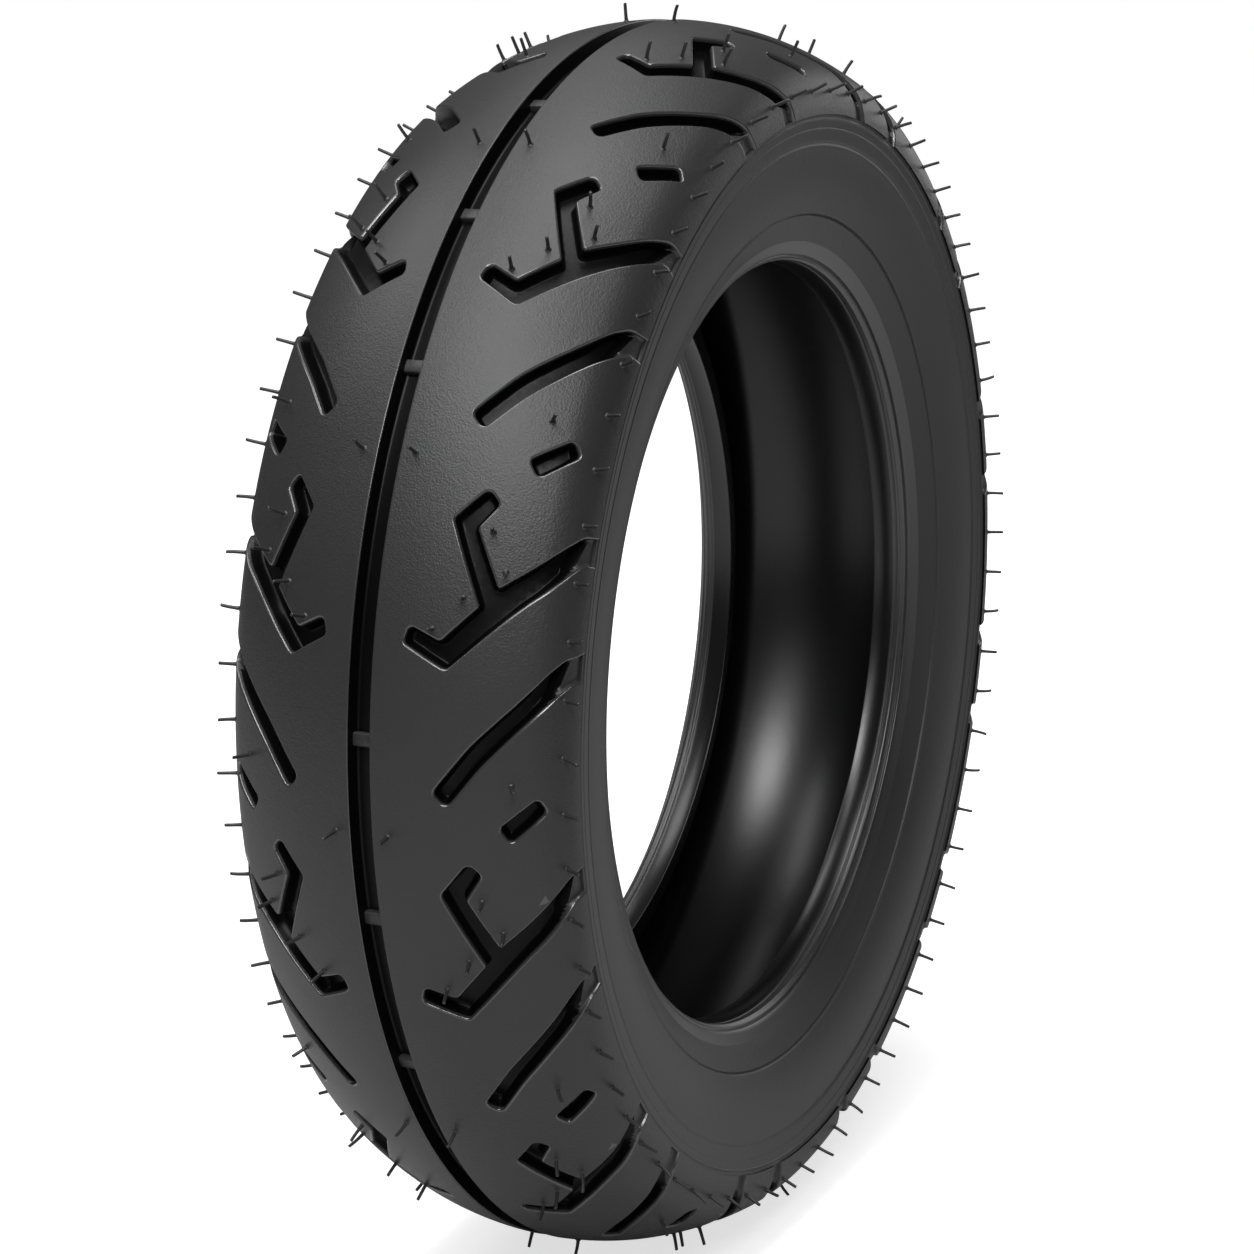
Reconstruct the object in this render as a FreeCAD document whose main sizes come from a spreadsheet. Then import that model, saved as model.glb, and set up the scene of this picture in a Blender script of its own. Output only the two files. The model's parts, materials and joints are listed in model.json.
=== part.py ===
import FreeCAD, Part
import Sketcher
import math
import os
import re

# Tubeless motorcycle and scooter tyre, modelled about the wheel's centre: it spins about +Y, +Z is up.
# Lengths are in millimetres and angles in degrees. "Axial" is measured along Y from the centre plane,
# "radial" is measured from the wheel's axle. "Left" is the +Y side.

SIZES = {
    # Overall section
    "bead_seat_radius": 152.0,
    "section_height": 91.5,
    "section_width": 132.3,
    "shoulder_drop": 34.9,
    "shoulder_radius": 22.0,
    "sidewall_thickness": 7.35,
    "sidewall_bulge_radius": 140.0,
    "tread_step": 0.8,
    # Layers under the tread
    "cap_thickness": 9.5,
    "base_thickness": 1.5,
    "breaker_thickness": 1.2,
    "layer_edge_step": 4.0,
    # Casing
    "casing_shoulder_clearance": 5.0,
    "ply_thickness": 1.1,
    "liner_thickness": 1.2,
    "turnup_height": 14.0,
    "turnup_step": 4.0,
    "turnup_angle": 110.0,
    "apex_height": 22.0,
    # Bead
    "bead_centre_axial": 43.0,
    "wire_diameter": 1.0,
    "wire_pitch": 1.2,
    "wire_cover": 0.35,
    "chafer_thickness": 1.2,
    "chafer_height": 4.0,
    "toe_reach": 1.7,
    "toe_drop": 0.7,
    "toe_bevel": 1.6,
    # Fine raised rings on the sidewall
    "ridge_radius": 0.45,
    "rim_ridge_rise": 1.6,
    "rim_ridge_gap": 1.9,
    "lower_ridge_rise": 7.6,
    "upper_ridge_drop": 11.0,
    # Tread pattern
    "groove_depth": 6.0,
    "centre_groove_width": 8.5,
    "lip_margin": 0.6,
    "slash_width": 7.6,
    "hook_width": 6.4,
    "slot_width": 5.0,
    "tread_phase": 9.7,
    # Wear bars in the centre groove
    "wear_bar_length": 5.0,
    "wear_bar_height": 2.4,
    "wear_bar_root": 0.5,
    # Vent spews
    "spew_diameter": 1.1,
    "spew_length": 7.5,
    "spew_floor_gap": 0.3,
}

PITCH_COUNT = 12
WIRES_PER_SIDE = 4
RIM_RIDGE_COUNT = 2

# Centre lines of the grooves in one pitch, as (angle from the middle of the pitch, axial) points.
# They are mirrored to the other half of the tread. The slashes run out over the edge of the tread.
GROOVE_LINES = {
    "hook_and_slash": [
        (1.3, "15.2"),
        (0.2, "28"),
        (4.1, "44"),
        (6.5, "half_width - 9"),
        (9.7, "half_width - 1.6"),
        (10.2, "half_width + 6"),
    ],
    "branch": [(4.3, "38.5"), (10.4, "30.2"), (12.8, "37.4")],
    "slash": [
        (-10.8, "28.5"),
        (-6.1, "44.7"),
        (-3.1, "half_width - 9"),
        (-0.1, "half_width - 1.2"),
        (0.5, "half_width + 6"),
    ],
    "slot": [(-14.0, "half_width - 18"), (-11.7, "half_width - 6.7")],
}
GROOVE_WIDTHS = {
    "hook_and_slash": ["hook_width", "hook_width"] + 4 * ["slash_width"],
    "branch": 3 * ["hook_width"],
    "slash": ["hook_width"] + 4 * ["slash_width"],
    "slot": 2 * ["slot_width"],
}

# Wear bars: angle from the middle of a pitch, and how many stand round the tyre.
WEAR_BARS = {"wear_bars_every_pitch": (-6.6, 12), "wear_bars_between": (-21.7, 6)}

# Vent spews on each pitch, as (angle from the middle of the pitch, axial).
BLOCK_SPEWS = [(9.2, "41.5"), (7.0, "47"), (4.7, "32"), (3.2, "23"), (-9.6, "51")]
CROWN_SPEWS = [(-14.0, "10")]
SHOULDER_SPEWS = [(5.0 * step - 7.5, "half_width - 1.9") for step in range(5)]
PITCH_END_SPEWS = [(-12.5, "half_width - 1.9")]

# Lengths and angles that follow from the sizes.
DERIVED = {
    "tread_radius": "bead_seat_radius + section_height",
    "half_width": "section_width / 2",
    "shoulder_radial": "tread_radius - shoulder_drop",
    "shoulder_axial": "half_width - shoulder_radius",
    # The crown arc runs through the tread's centre and is tangent to the shoulder arc.
    "crown_radius": "(shoulder_axial^2 + shoulder_drop^2 - shoulder_radius^2)"
                    " / (2 * (shoulder_drop - shoulder_radius))",
    "crown_centre": "tread_radius - crown_radius",
    "shoulder_angle": "atan2(shoulder_axial; shoulder_radial - crown_centre) / 1 deg",
    "lip_axial": "half_width - groove_depth - lip_margin",
    "cap_inner_radius": "crown_radius - cap_thickness",
    "base_inner_radius": "cap_inner_radius - base_thickness",
    "breaker_middle_radius": "base_inner_radius - breaker_thickness",
    "casing_crown_radius": "breaker_middle_radius - breaker_thickness",
    # The casing is widest halfway up the section, or as high as its shoulder arc still fits under the
    # crown arc that it is tangent to.
    "casing_half_width": "half_width - sidewall_thickness",
    "casing_highest_level": "crown_centre + sqrt(casing_crown_radius^2 - casing_half_width^2)"
                            " - casing_shoulder_clearance",
    "casing_shoulder_radial": "min(bead_seat_radius + section_height / 2; casing_highest_level)",
    "casing_shoulder_radius": "(casing_crown_radius^2 - casing_half_width^2"
                              " - (casing_shoulder_radial - crown_centre)^2)"
                              " / (2 * (casing_crown_radius - casing_half_width))",
    "casing_shoulder_axial": "casing_half_width - casing_shoulder_radius",
    "casing_shoulder_angle": "atan2(casing_shoulder_axial; casing_shoulder_radial - crown_centre) / 1 deg",
    "base_edge_angle": "casing_shoulder_angle - layer_edge_step / casing_crown_radius * 180 / pi",
    "inner_breaker_angle": "casing_shoulder_angle - 2 * layer_edge_step / casing_crown_radius * 180 / pi",
    "outer_breaker_angle": "casing_shoulder_angle - 3 * layer_edge_step / casing_crown_radius * 180 / pi",
    # Bead bundle, and the straight flank tangent to the casing's shoulder arc and to the bundle.
    "bead_core_radius": "(%d - 1) / 2 * wire_pitch * sqrt(2) + wire_diameter / 2 + wire_cover"
                        % WIRES_PER_SIDE,
    "wrap_thickness": "2 * ply_thickness",
    "bead_centre_radial": "bead_seat_radius + chafer_thickness + wrap_thickness + bead_core_radius",
    "bead_offset_axial": "bead_centre_axial - casing_shoulder_axial",
    "bead_offset_radial": "bead_centre_radial - casing_shoulder_radial",
    "flank_angle": "180 - (atan2(bead_offset_axial; -bead_offset_radial)"
                   " + acos((casing_shoulder_radius + bead_core_radius)"
                   " / sqrt(bead_offset_axial^2 + bead_offset_radial^2))) / 1 deg",
    "bead_reach": "bead_core_radius + wrap_thickness + chafer_thickness",
    "toe_axial": "bead_centre_axial - bead_reach - toe_reach",
    "toe_radial": "bead_seat_radius - toe_drop",
    "land_axial": "toe_axial + toe_bevel",
    # Outer surface of the sidewall: one arc from the top of the chafer to the edge of the tread.
    "wall_foot_axial": "bead_centre_axial + bead_reach * sin(turnup_angle * 1 deg)"
                       " - chafer_height * cos(turnup_angle * 1 deg)",
    "wall_foot_radial": "bead_centre_radial + bead_reach * cos(turnup_angle * 1 deg)"
                        " + chafer_height * sin(turnup_angle * 1 deg)",
    "wall_top_axial": "half_width - tread_step",
    "wall_rise_axial": "wall_top_axial - wall_foot_axial",
    "wall_rise_radial": "shoulder_radial - wall_foot_radial",
    "wall_half_chord": "sqrt(wall_rise_axial^2 + wall_rise_radial^2) / 2",
    "wall_centre_depth": "sqrt(sidewall_bulge_radius^2 - wall_half_chord^2)",
    "wall_centre_axial": "(wall_foot_axial + wall_top_axial) / 2"
                         " - wall_centre_depth * wall_rise_radial / (2 * wall_half_chord)",
    "wall_centre_radial": "(wall_foot_radial + shoulder_radial) / 2"
                          " + wall_centre_depth * wall_rise_axial / (2 * wall_half_chord)",
    # Depth of the cut that takes the grooves out of the ring of blocks, from outside the tread.
    "cut_start": "tread_radius + 2",
    "cut_length": "cut_start - (shoulder_radial - groove_depth) * cos(%g deg)" % (180 / PITCH_COUNT),
}

doc = FreeCAD.newDocument("motorcycle_tyre")


def make_sheet():
    """The spreadsheet: a plain number for each size, then a formula for each derived length."""
    sheet = doc.addObject("Spreadsheet::Sheet", "Sizes")
    row = 1
    for alias, value in SIZES.items():
        sheet.set("A%d" % row, alias)
        sheet.set("B%d" % row, str(value))
        sheet.setAlias("B%d" % row, alias)
        row += 1
    for alias, formula in DERIVED.items():
        sheet.set("A%d" % row, alias)
        sheet.set("B%d" % row, "=" + formula)
        sheet.setAlias("B%d" % row, alias)
        row += 1
    doc.recompute()
    return sheet


sheet = make_sheet()
ALIASES = re.compile(r"\b(%s)\b" % "|".join(list(SIZES) + list(DERIVED)))


def from_sheet(formula):
    """The formula with each size named as a cell of the sheet."""
    return ALIASES.sub(r"Sizes.\1", formula)


def value(formula):
    """The formula's value now, as a plain number."""
    result = sheet.evalExpression(from_sheet(formula))
    return float(getattr(result, "Value", result))


def polar(centre, radius, angle):
    """The point at this radius and angle round a centre. The angle runs from outward towards left."""
    axial = "%s + (%s) * sin((%s) * 1 deg)" % (centre[0], radius, angle)
    radial = "%s + (%s) * cos((%s) * 1 deg)" % (centre[1], radius, angle)
    return axial, radial


def arc(centre, radius, first_angle, last_angle):
    """An arc between two points of an outline."""
    middle = polar(centre, radius, "((%s) + (%s)) / 2" % (first_angle, last_angle))
    return {"radius": radius, "middle": middle}


CROWN = ("0", "crown_centre")
SHOULDER = ("shoulder_axial", "shoulder_radial")
CASING = ("casing_shoulder_axial", "casing_shoulder_radial")
BEAD = ("bead_centre_axial", "bead_centre_radial")
WALL = ("wall_centre_axial", "wall_centre_radial")
LINE = None


def mirrored(point):
    """The same point on the other side of the centre plane."""
    return "-(%s)" % point[0], point[1]


def mirrored_edge(edge):
    """The same edge on the other side of the centre plane."""
    if edge is LINE:
        return LINE
    return {"radius": edge["radius"], "middle": mirrored(edge["middle"])}


def crown_arc(radius):
    """The arc over the crown, from the right half of an outline to the left half."""
    return {"radius": radius, "middle": polar(CROWN, radius, "0")}


def band(outer_radius, outer_points, outer_edges, inner_radius, inner_points, inner_edges):
    """Outline of a layer that spans both halves. Each list runs from the crown to the layer's edge."""
    right = [mirrored(point) for point in reversed(outer_points)]
    right_edges = [mirrored_edge(edge) for edge in reversed(outer_edges)]
    points = right + outer_points
    edges = right_edges + [crown_arc(outer_radius)] + outer_edges + [LINE]
    points += list(reversed(inner_points)) + [mirrored(point) for point in inner_points]
    edges += list(reversed(inner_edges)) + [crown_arc(inner_radius)]
    edges += [mirrored_edge(edge) for edge in inner_edges] + [LINE]
    return points, edges


def new_body(name):
    """A PartDesign body that becomes one sub-part, or a stage of one."""
    body = doc.addObject("PartDesign::Body", name)
    body.Label = name
    return body


def origin_feature(body, role):
    """One of the body's own origin planes or axes."""
    return [feature for feature in body.Origin.OriginFeatures if feature.Role == role][0]


def new_sketch(body, name, plane):
    """A sketch on one of the body's origin planes."""
    sketch = body.newObject("Sketcher::SketchObject", name)
    sketch.AttachmentSupport = [(origin_feature(body, plane), "")]
    sketch.MapMode = "FlatFace"
    return sketch


def place_point(sketch, geometry, position, across, up):
    """Bind a point of the sketch to two formulas: its distances from the origin across and up."""
    for kind, formula in (("DistanceX", across), ("DistanceY", up)):
        number = sketch.addConstraint(Sketcher.Constraint(kind, -1, 1, geometry, position, value(formula)))
        sketch.setExpression("Constraints[%d]" % number, from_sheet(formula))


def add_circle(sketch, across, up, radius):
    """A circle whose centre and radius follow the sheet."""
    centre = FreeCAD.Vector(value(across), value(up), 0)
    circle = Part.Circle(centre, FreeCAD.Vector(0, 0, 1), value(radius))
    geometry = sketch.addGeometry(circle, False)
    place_point(sketch, geometry, 3, across, up)
    number = sketch.addConstraint(Sketcher.Constraint("Radius", geometry, value(radius)))
    sketch.setExpression("Constraints[%d]" % number, from_sheet(radius))


def add_edge(sketch, start, end, edge):
    """A line or an arc between two points. Returns its number and which of its ends is the start."""
    if edge is LINE:
        return sketch.addGeometry(Part.LineSegment(start, end), False), 1
    middle = FreeCAD.Vector(value(edge["middle"][1]), value(edge["middle"][0]), 0)
    forward = (middle - start).cross(end - middle).z > 0
    first, last = (start, end) if forward else (end, start)
    geometry = sketch.addGeometry(Part.Arc(first, middle, last), False)
    number = sketch.addConstraint(Sketcher.Constraint("Radius", geometry, value(edge["radius"])))
    sketch.setExpression("Constraints[%d]" % number, from_sheet(edge["radius"]))
    return geometry, 1 if forward else 2


def add_outline(sketch, points, edges):
    """A closed outline of (axial, radial) points, drawn with radial across the sketch and axial up it."""
    places = [FreeCAD.Vector(value(radial), value(axial), 0) for axial, radial in points]
    drawn = []
    for index, edge in enumerate(edges):
        drawn.append(add_edge(sketch, places[index], places[(index + 1) % len(places)], edge))
    for index, (geometry, start) in enumerate(drawn):
        previous, previous_start = drawn[index - 1]
        previous_end = 3 - previous_start
        sketch.addConstraint(Sketcher.Constraint("Coincident", previous, previous_end, geometry, start))
        axial, radial = points[index]
        place_point(sketch, geometry, start, radial, axial)


def revolve(body, sketch, kind="PartDesign::Revolution"):
    """Turn the sketch all the way round the wheel's axis."""
    feature = body.newObject(kind, sketch.Name + "_turned")
    feature.Profile = sketch
    feature.ReferenceAxis = (sketch, ["V_Axis"])
    feature.Angle = 360
    return feature


def ring_body(name, points, edges):
    """A body turned from one closed outline."""
    body = new_body(name)
    sketch = new_sketch(body, name + "_section", "XY_Plane")
    add_outline(sketch, points, edges)
    revolve(body, sketch)
    return body


def casing_chain(offset, wrapped_height):
    """Points and edges of a casing layer's face at this depth under the casing's outer face.

    They run from the crown down the flank to the bundle and, where wrapped_height is given, under the
    bundle and up its outer side.
    """
    crown = "casing_crown_radius - (%s)" % offset
    shoulder = "casing_shoulder_radius - (%s)" % offset
    bead = "bead_core_radius + (%s)" % offset
    points = [
        polar(CROWN, crown, "casing_shoulder_angle"),
        polar(CASING, shoulder, "flank_angle"),
        polar(BEAD, bead, "flank_angle + 180"),
    ]
    edges = [arc(CASING, shoulder, "casing_shoulder_angle", "flank_angle"), LINE]
    if wrapped_height:
        points += [polar(BEAD, bead, "turnup_angle"), turnup_point(offset, wrapped_height)]
        edges += [arc(BEAD, bead, "flank_angle + 180", "turnup_angle"), LINE]
    return crown, points, edges


def turnup_point(offset, height):
    """A point on the straight part of the plies' turn-up, outside the bundle."""
    foot = polar(BEAD, "bead_core_radius + (%s)" % offset, "turnup_angle")
    axial = "%s - (%s) * cos(turnup_angle * 1 deg)" % (foot[0], height)
    radial = "%s + (%s) * sin(turnup_angle * 1 deg)" % (foot[1], height)
    return axial, radial


def casing_layer(name, outer_offset, inner_offset, wrapped_height=None):
    """A ply or the liner: a band between two faces of the casing."""
    outer = casing_chain(outer_offset, wrapped_height)
    inner = casing_chain(inner_offset, wrapped_height)
    points, edges = band(*outer, *inner)
    return ring_body(name, points, edges)


def crown_layer(name, outer_radius, inner_radius, edge_angle):
    """A breaker ply or the tread base: a band of even thickness under the tread."""
    outer = polar(CROWN, outer_radius, edge_angle)
    inner = polar(CROWN, inner_radius, edge_angle)
    points, edges = band(outer_radius, [outer], [], inner_radius, [inner], [])
    return ring_body(name, points, edges)


def tread_face(depth):
    """The face at this depth under the tread, from the crown to the widest level of the shoulder."""
    crown = "crown_radius - (%s)" % depth
    shoulder = "shoulder_radius - (%s)" % depth
    points = [polar(CROWN, crown, "shoulder_angle"), polar(SHOULDER, shoulder, "90")]
    edges = [arc(SHOULDER, shoulder, "shoulder_angle", "90")]
    return crown, points, edges


def surface_radial(axial):
    """Formula of the tread surface's distance from the axle at this distance from the centre plane."""
    if value(axial) < value("crown_radius * sin(shoulder_angle * 1 deg)"):
        return "(crown_centre + sqrt(crown_radius^2 - (%s)^2))" % axial
    if value(axial) < value("half_width"):
        return "(shoulder_radial + sqrt(shoulder_radius^2 - (%s - shoulder_axial)^2))" % axial
    return "shoulder_radial"


def groove_outline(name):
    """Corners of one groove on the flat plane over the middle of a pitch, as (axial, up) formulas.

    Each corner is a point of the centre line moved sideways by a number of groove widths.
    """
    line = GROOVE_LINES[name]
    centres = []
    for angle, axial in line:
        up = "-(%s) * sin(%g deg)" % (surface_radial(axial), angle)
        centres.append((axial, up))
    places = [FreeCAD.Vector(value(axial), value(up), 0) for axial, up in centres]
    sides = [(end - start).normalize() for start, end in zip(places, places[1:])]
    left, right = [], []
    for index, (axial, up) in enumerate(centres):
        before = sides[max(index - 1, 0)]
        after = sides[min(index, len(sides) - 1)]
        mitre = before + after
        mitre.normalize()
        reach = 0.5 / mitre.dot(after)
        width = GROOVE_WIDTHS[name][index]
        for corners, sign in ((left, 1), (right, -1)):
            across_share = -sign * mitre.y * reach
            up_share = sign * mitre.x * reach
            corners.append(("%s + %.5f * %s" % (axial, across_share, width),
                            "%s + %.5f * %s" % (up, up_share, width)))
    return left + right[::-1]


def add_groove(sketch, name, side):
    """One groove's outline on the left (side 1) or the right (side -1) half of the tread."""
    corners = [("%d * (%s)" % (side, axial), up) for axial, up in groove_outline(name)]
    add_outline(sketch, [(up, axial) for axial, up in corners], len(corners) * [LINE])


def pocket_grooves(body, sketch_name, groove_names):
    """Cut the named grooves of one pitch through the ring of blocks, from outside towards the axle."""
    sketch = new_sketch(body, sketch_name, "YZ_Plane")
    sketch.setExpression("AttachmentOffset.Base.z", "Sizes.cut_start")
    for name in groove_names:
        for side in (1, -1):
            add_groove(sketch, name, side)
    pocket = body.newObject("PartDesign::Pocket", sketch_name + "_cut")
    pocket.Profile = sketch
    pocket.Type = "Length"
    pocket.setExpression("Length", "Sizes.cut_length")
    return pocket


def repeat_round(body, features, name, count):
    """Repeat the features round the wheel's axis."""
    pattern = body.newObject("PartDesign::PolarPattern", name)
    pattern.Originals = features
    pattern.Axis = (origin_feature(body, "Y_Axis"), [""])
    pattern.Angle = 360
    pattern.Occurrences = count
    body.Tip = pattern
    return pattern


def add_wear_bars(body, name, angle, count):
    """Low bars across the floor of the centre groove, each a short arc of a square ring."""
    sketch = new_sketch(body, name, "XY_Plane")
    turn = FreeCAD.Rotation(FreeCAD.Vector(0, 1, 0), angle)
    sketch.AttachmentOffset = FreeCAD.Placement(FreeCAD.Vector(0, 0, 0), turn)
    floor = "tread_radius - groove_depth - wear_bar_root"
    top = "tread_radius - groove_depth + wear_bar_height"
    half_across = "centre_groove_width / 2"
    corners = [(half_across, floor), (half_across, top)]
    corners += [mirrored(corner) for corner in reversed(corners)]
    add_outline(sketch, corners, 4 * [LINE])
    bar = revolve(body, sketch)
    bar.Midplane = True
    bar.setExpression("Angle", from_sheet("wear_bar_length / tread_radius * 180 / pi"))
    return repeat_round(body, [bar], name + "_round", count)


def tread_cap():
    """The grooved tread: a ring of blocks on a floor ring, joined into one moulding."""
    outer = tread_face("0")
    floor = tread_face("groove_depth")
    blocks = new_body("tread_blocks")
    section = new_sketch(blocks, "tread_blocks_section", "XY_Plane")
    add_outline(section, *band(*outer, *floor))
    revolve(blocks, section)

    centre = new_sketch(blocks, "centre_groove", "XY_Plane")
    across = "centre_groove_width / 2"
    floor_level = "tread_radius - groove_depth - wear_bar_root"
    corners = [(across, floor_level), (across, "cut_start")]
    corners += [mirrored(corner) for corner in reversed(corners)]
    add_outline(centre, corners, 4 * [LINE])
    revolve(blocks, centre, "PartDesign::Groove")
    doc.recompute()

    main_cut = pocket_grooves(blocks, "slashes_and_slots", ["hook_and_slash", "slash", "slot"])
    branch_cut = pocket_grooves(blocks, "branches", ["branch"])
    repeat_round(blocks, [main_cut, branch_cut], "grooves_round", PITCH_COUNT)
    for name, (angle, count) in WEAR_BARS.items():
        add_wear_bars(blocks, name, angle, count)

    lip = ("lip_axial", "shoulder_radial")
    base_edge = polar(CROWN, "cap_inner_radius", "base_edge_angle")
    floor_radius, floor_points, floor_edges = floor
    to_lip = floor_points + [lip], floor_edges + [LINE]
    floor_outline = band(floor_radius, *to_lip, "cap_inner_radius", [base_edge], [])
    floor_ring = ring_body("tread_floor", *floor_outline)

    cap = doc.addObject("Part::MultiFuse", "tread_cap")
    cap.Label = "tread_cap"
    cap.Shapes = [blocks, floor_ring]
    turn = FreeCAD.Rotation(FreeCAD.Vector(0, 1, 0), SIZES["tread_phase"])
    cap.Placement = FreeCAD.Placement(FreeCAD.Vector(0, 0, 0), turn)
    cap.setExpression("Placement.Rotation.Angle", "Sizes.tread_phase")
    return cap


def side_point(point, side):
    """The point on the left (side 1) or the right (side -1)."""
    return point if side == 1 else mirrored(point)


def side_ring(name, side, points, edges):
    """A ring on one side of the tyre, from an outline given for the left."""
    placed = [side_point(point, side) for point in points]
    placed_edges = edges if side == 1 else [mirrored_edge(edge) for edge in edges]
    return ring_body(name, placed, placed_edges)


def sidewall(name, side):
    """The rubber from the tread's edge down to the chafer, with its fine raised rings."""
    ply, wrap = "ply_thickness", "wrap_thickness"
    inner_turnup = "turnup_height - turnup_step"
    apex_tip = flank_point("apex_height")
    points = [
        ("wall_top_axial", "shoulder_radial"),
        ("lip_axial", "shoulder_radial"),
        polar(CROWN, "cap_inner_radius", "base_edge_angle"),
        polar(CROWN, "base_inner_radius", "base_edge_angle"),
        polar(CROWN, "base_inner_radius", "outer_breaker_angle"),
        polar(CROWN, "breaker_middle_radius", "outer_breaker_angle"),
        polar(CROWN, "breaker_middle_radius", "inner_breaker_angle"),
        polar(CROWN, "casing_crown_radius", "inner_breaker_angle"),
        polar(CROWN, "casing_crown_radius", "casing_shoulder_angle"),
        polar(CASING, "casing_shoulder_radius", "flank_angle"),
        apex_tip,
        turnup_point("0", "turnup_height"),
        turnup_point(ply, "turnup_height"),
        turnup_point(ply, inner_turnup),
        turnup_point(wrap, inner_turnup),
        turnup_point(wrap, "chafer_height"),
        ("wall_foot_axial", "wall_foot_radial"),
    ]
    edges = len(points) * [LINE]
    edges[4 - 1] = arc(CROWN, "base_inner_radius", "base_edge_angle", "outer_breaker_angle")
    edges[6 - 1] = arc(CROWN, "breaker_middle_radius", "outer_breaker_angle", "inner_breaker_angle")
    edges[8 - 1] = arc(CROWN, "casing_crown_radius", "inner_breaker_angle", "casing_shoulder_angle")
    edges[9 - 1] = arc(CASING, "casing_shoulder_radius", "casing_shoulder_angle", "flank_angle")
    edges[-1] = {"radius": "sidewall_bulge_radius", "middle": wall_middle()}
    body = side_ring(name, side, points, edges)
    ridges = new_sketch(body, name + "_ridges", "XY_Plane")
    for radial in ridge_levels():
        axial = "wall_centre_axial + sqrt(sidewall_bulge_radius^2 - (%s - wall_centre_radial)^2)" % radial
        add_circle(ridges, radial, side_point((axial, radial), side)[0], "ridge_radius")
    revolve(body, ridges)
    return body


def wall_middle():
    """The middle of the sidewall's outer arc."""
    share = "sidewall_bulge_radius / sqrt(wall_rise_axial^2 + wall_rise_radial^2)"
    return ("wall_centre_axial + %s * wall_rise_radial" % share,
            "wall_centre_radial - %s * wall_rise_axial" % share)


def ridge_levels():
    """Distances from the axle of the fine rings: the rim lines, then the lower and the upper ring."""
    levels = ["(wall_foot_radial + lower_ridge_rise)", "(shoulder_radial - upper_ridge_drop)"]
    for index in range(RIM_RIDGE_COUNT):
        levels.append("(wall_foot_radial + rim_ridge_rise + %d * rim_ridge_gap)" % index)
    return levels


def flank_point(height):
    """A point on the casing's outer face this far up the straight flank from the bundle."""
    foot = polar(BEAD, "bead_core_radius", "flank_angle + 180")
    axial = "%s - (%s) * cos(flank_angle * 1 deg)" % (foot[0], height)
    radial = "%s + (%s) * sin(flank_angle * 1 deg)" % (foot[1], height)
    return axial, radial


def apex(name, side):
    """The hard rubber wedge above the bead bundle, between the plies and their turn-ups."""
    points = [
        flank_point("0"),
        flank_point("apex_height"),
        turnup_point("0", "turnup_height"),
        turnup_point("0", "0"),
    ]
    over_bundle = arc(BEAD, "bead_core_radius", "turnup_angle", "flank_angle - 180")
    return side_ring(name, side, points, [LINE, LINE, LINE, over_bundle])


def chafer(name, side):
    """The rubber strip round the bead: from the foot of the liner, round the toe, along the seat and up
    the outer face that meets the rim's flange."""
    liner_face = "wrap_thickness + liner_thickness"
    reach = "bead_reach"
    points = [
        polar(BEAD, "bead_core_radius + wrap_thickness", "flank_angle + 180"),
        polar(BEAD, "bead_core_radius + " + liner_face, "flank_angle + 180"),
        ("toe_axial", "toe_radial"),
        ("land_axial", "bead_seat_radius"),
        polar(BEAD, reach, "180"),
        polar(BEAD, reach, "turnup_angle"),
        ("wall_foot_axial", "wall_foot_radial"),
        turnup_point("wrap_thickness", "chafer_height"),
        turnup_point("wrap_thickness", "0"),
    ]
    edges = len(points) * [LINE]
    edges[5 - 1] = arc(BEAD, reach, "180", "turnup_angle")
    edges[-1] = arc(BEAD, "bead_core_radius + wrap_thickness", "turnup_angle", "flank_angle + 180")
    return side_ring(name, side, points, edges)


def bead_wires(name, side):
    """The bead's hoops of steel wire, each a separate ring."""
    section = doc.addObject("Sketcher::SketchObject", name + "_section")
    for row in range(WIRES_PER_SIDE):
        for column in range(WIRES_PER_SIDE):
            axial = "bead_centre_axial + %g * wire_pitch" % (column - (WIRES_PER_SIDE - 1) / 2)
            radial = "bead_centre_radial + %g * wire_pitch" % (row - (WIRES_PER_SIDE - 1) / 2)
            add_circle(section, radial, side_point((axial, radial), side)[0], "wire_diameter / 2")
    wires = doc.addObject("Part::Revolution", name)
    wires.Label = name
    wires.Source = section
    wires.Axis = FreeCAD.Vector(0, 1, 0)
    wires.Angle = 360
    wires.Solid = True
    return wires


def bead_insulation(name, side, wires):
    """The rubber that holds the wires together, with a hole for each."""
    round_body = new_body(name + "_round")
    sketch = new_sketch(round_body, name + "_section", "XY_Plane")
    add_circle(sketch, BEAD[1], side_point(BEAD, side)[0], "bead_core_radius")
    revolve(round_body, sketch)
    insulation = doc.addObject("Part::Cut", name)
    insulation.Label = name
    insulation.Base = round_body
    insulation.Tool = wires
    return insulation


def surface_normal(axial):
    """Slope of the tread's outward normal at this distance from the centre plane, in degrees."""
    if value(axial) < value("crown_radius * sin(shoulder_angle * 1 deg)"):
        sine = "(%s) / crown_radius" % axial
    else:
        sine = "(%s - shoulder_axial) / shoulder_radius" % axial
    return math.degrees(math.asin(value(sine)))


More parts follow.
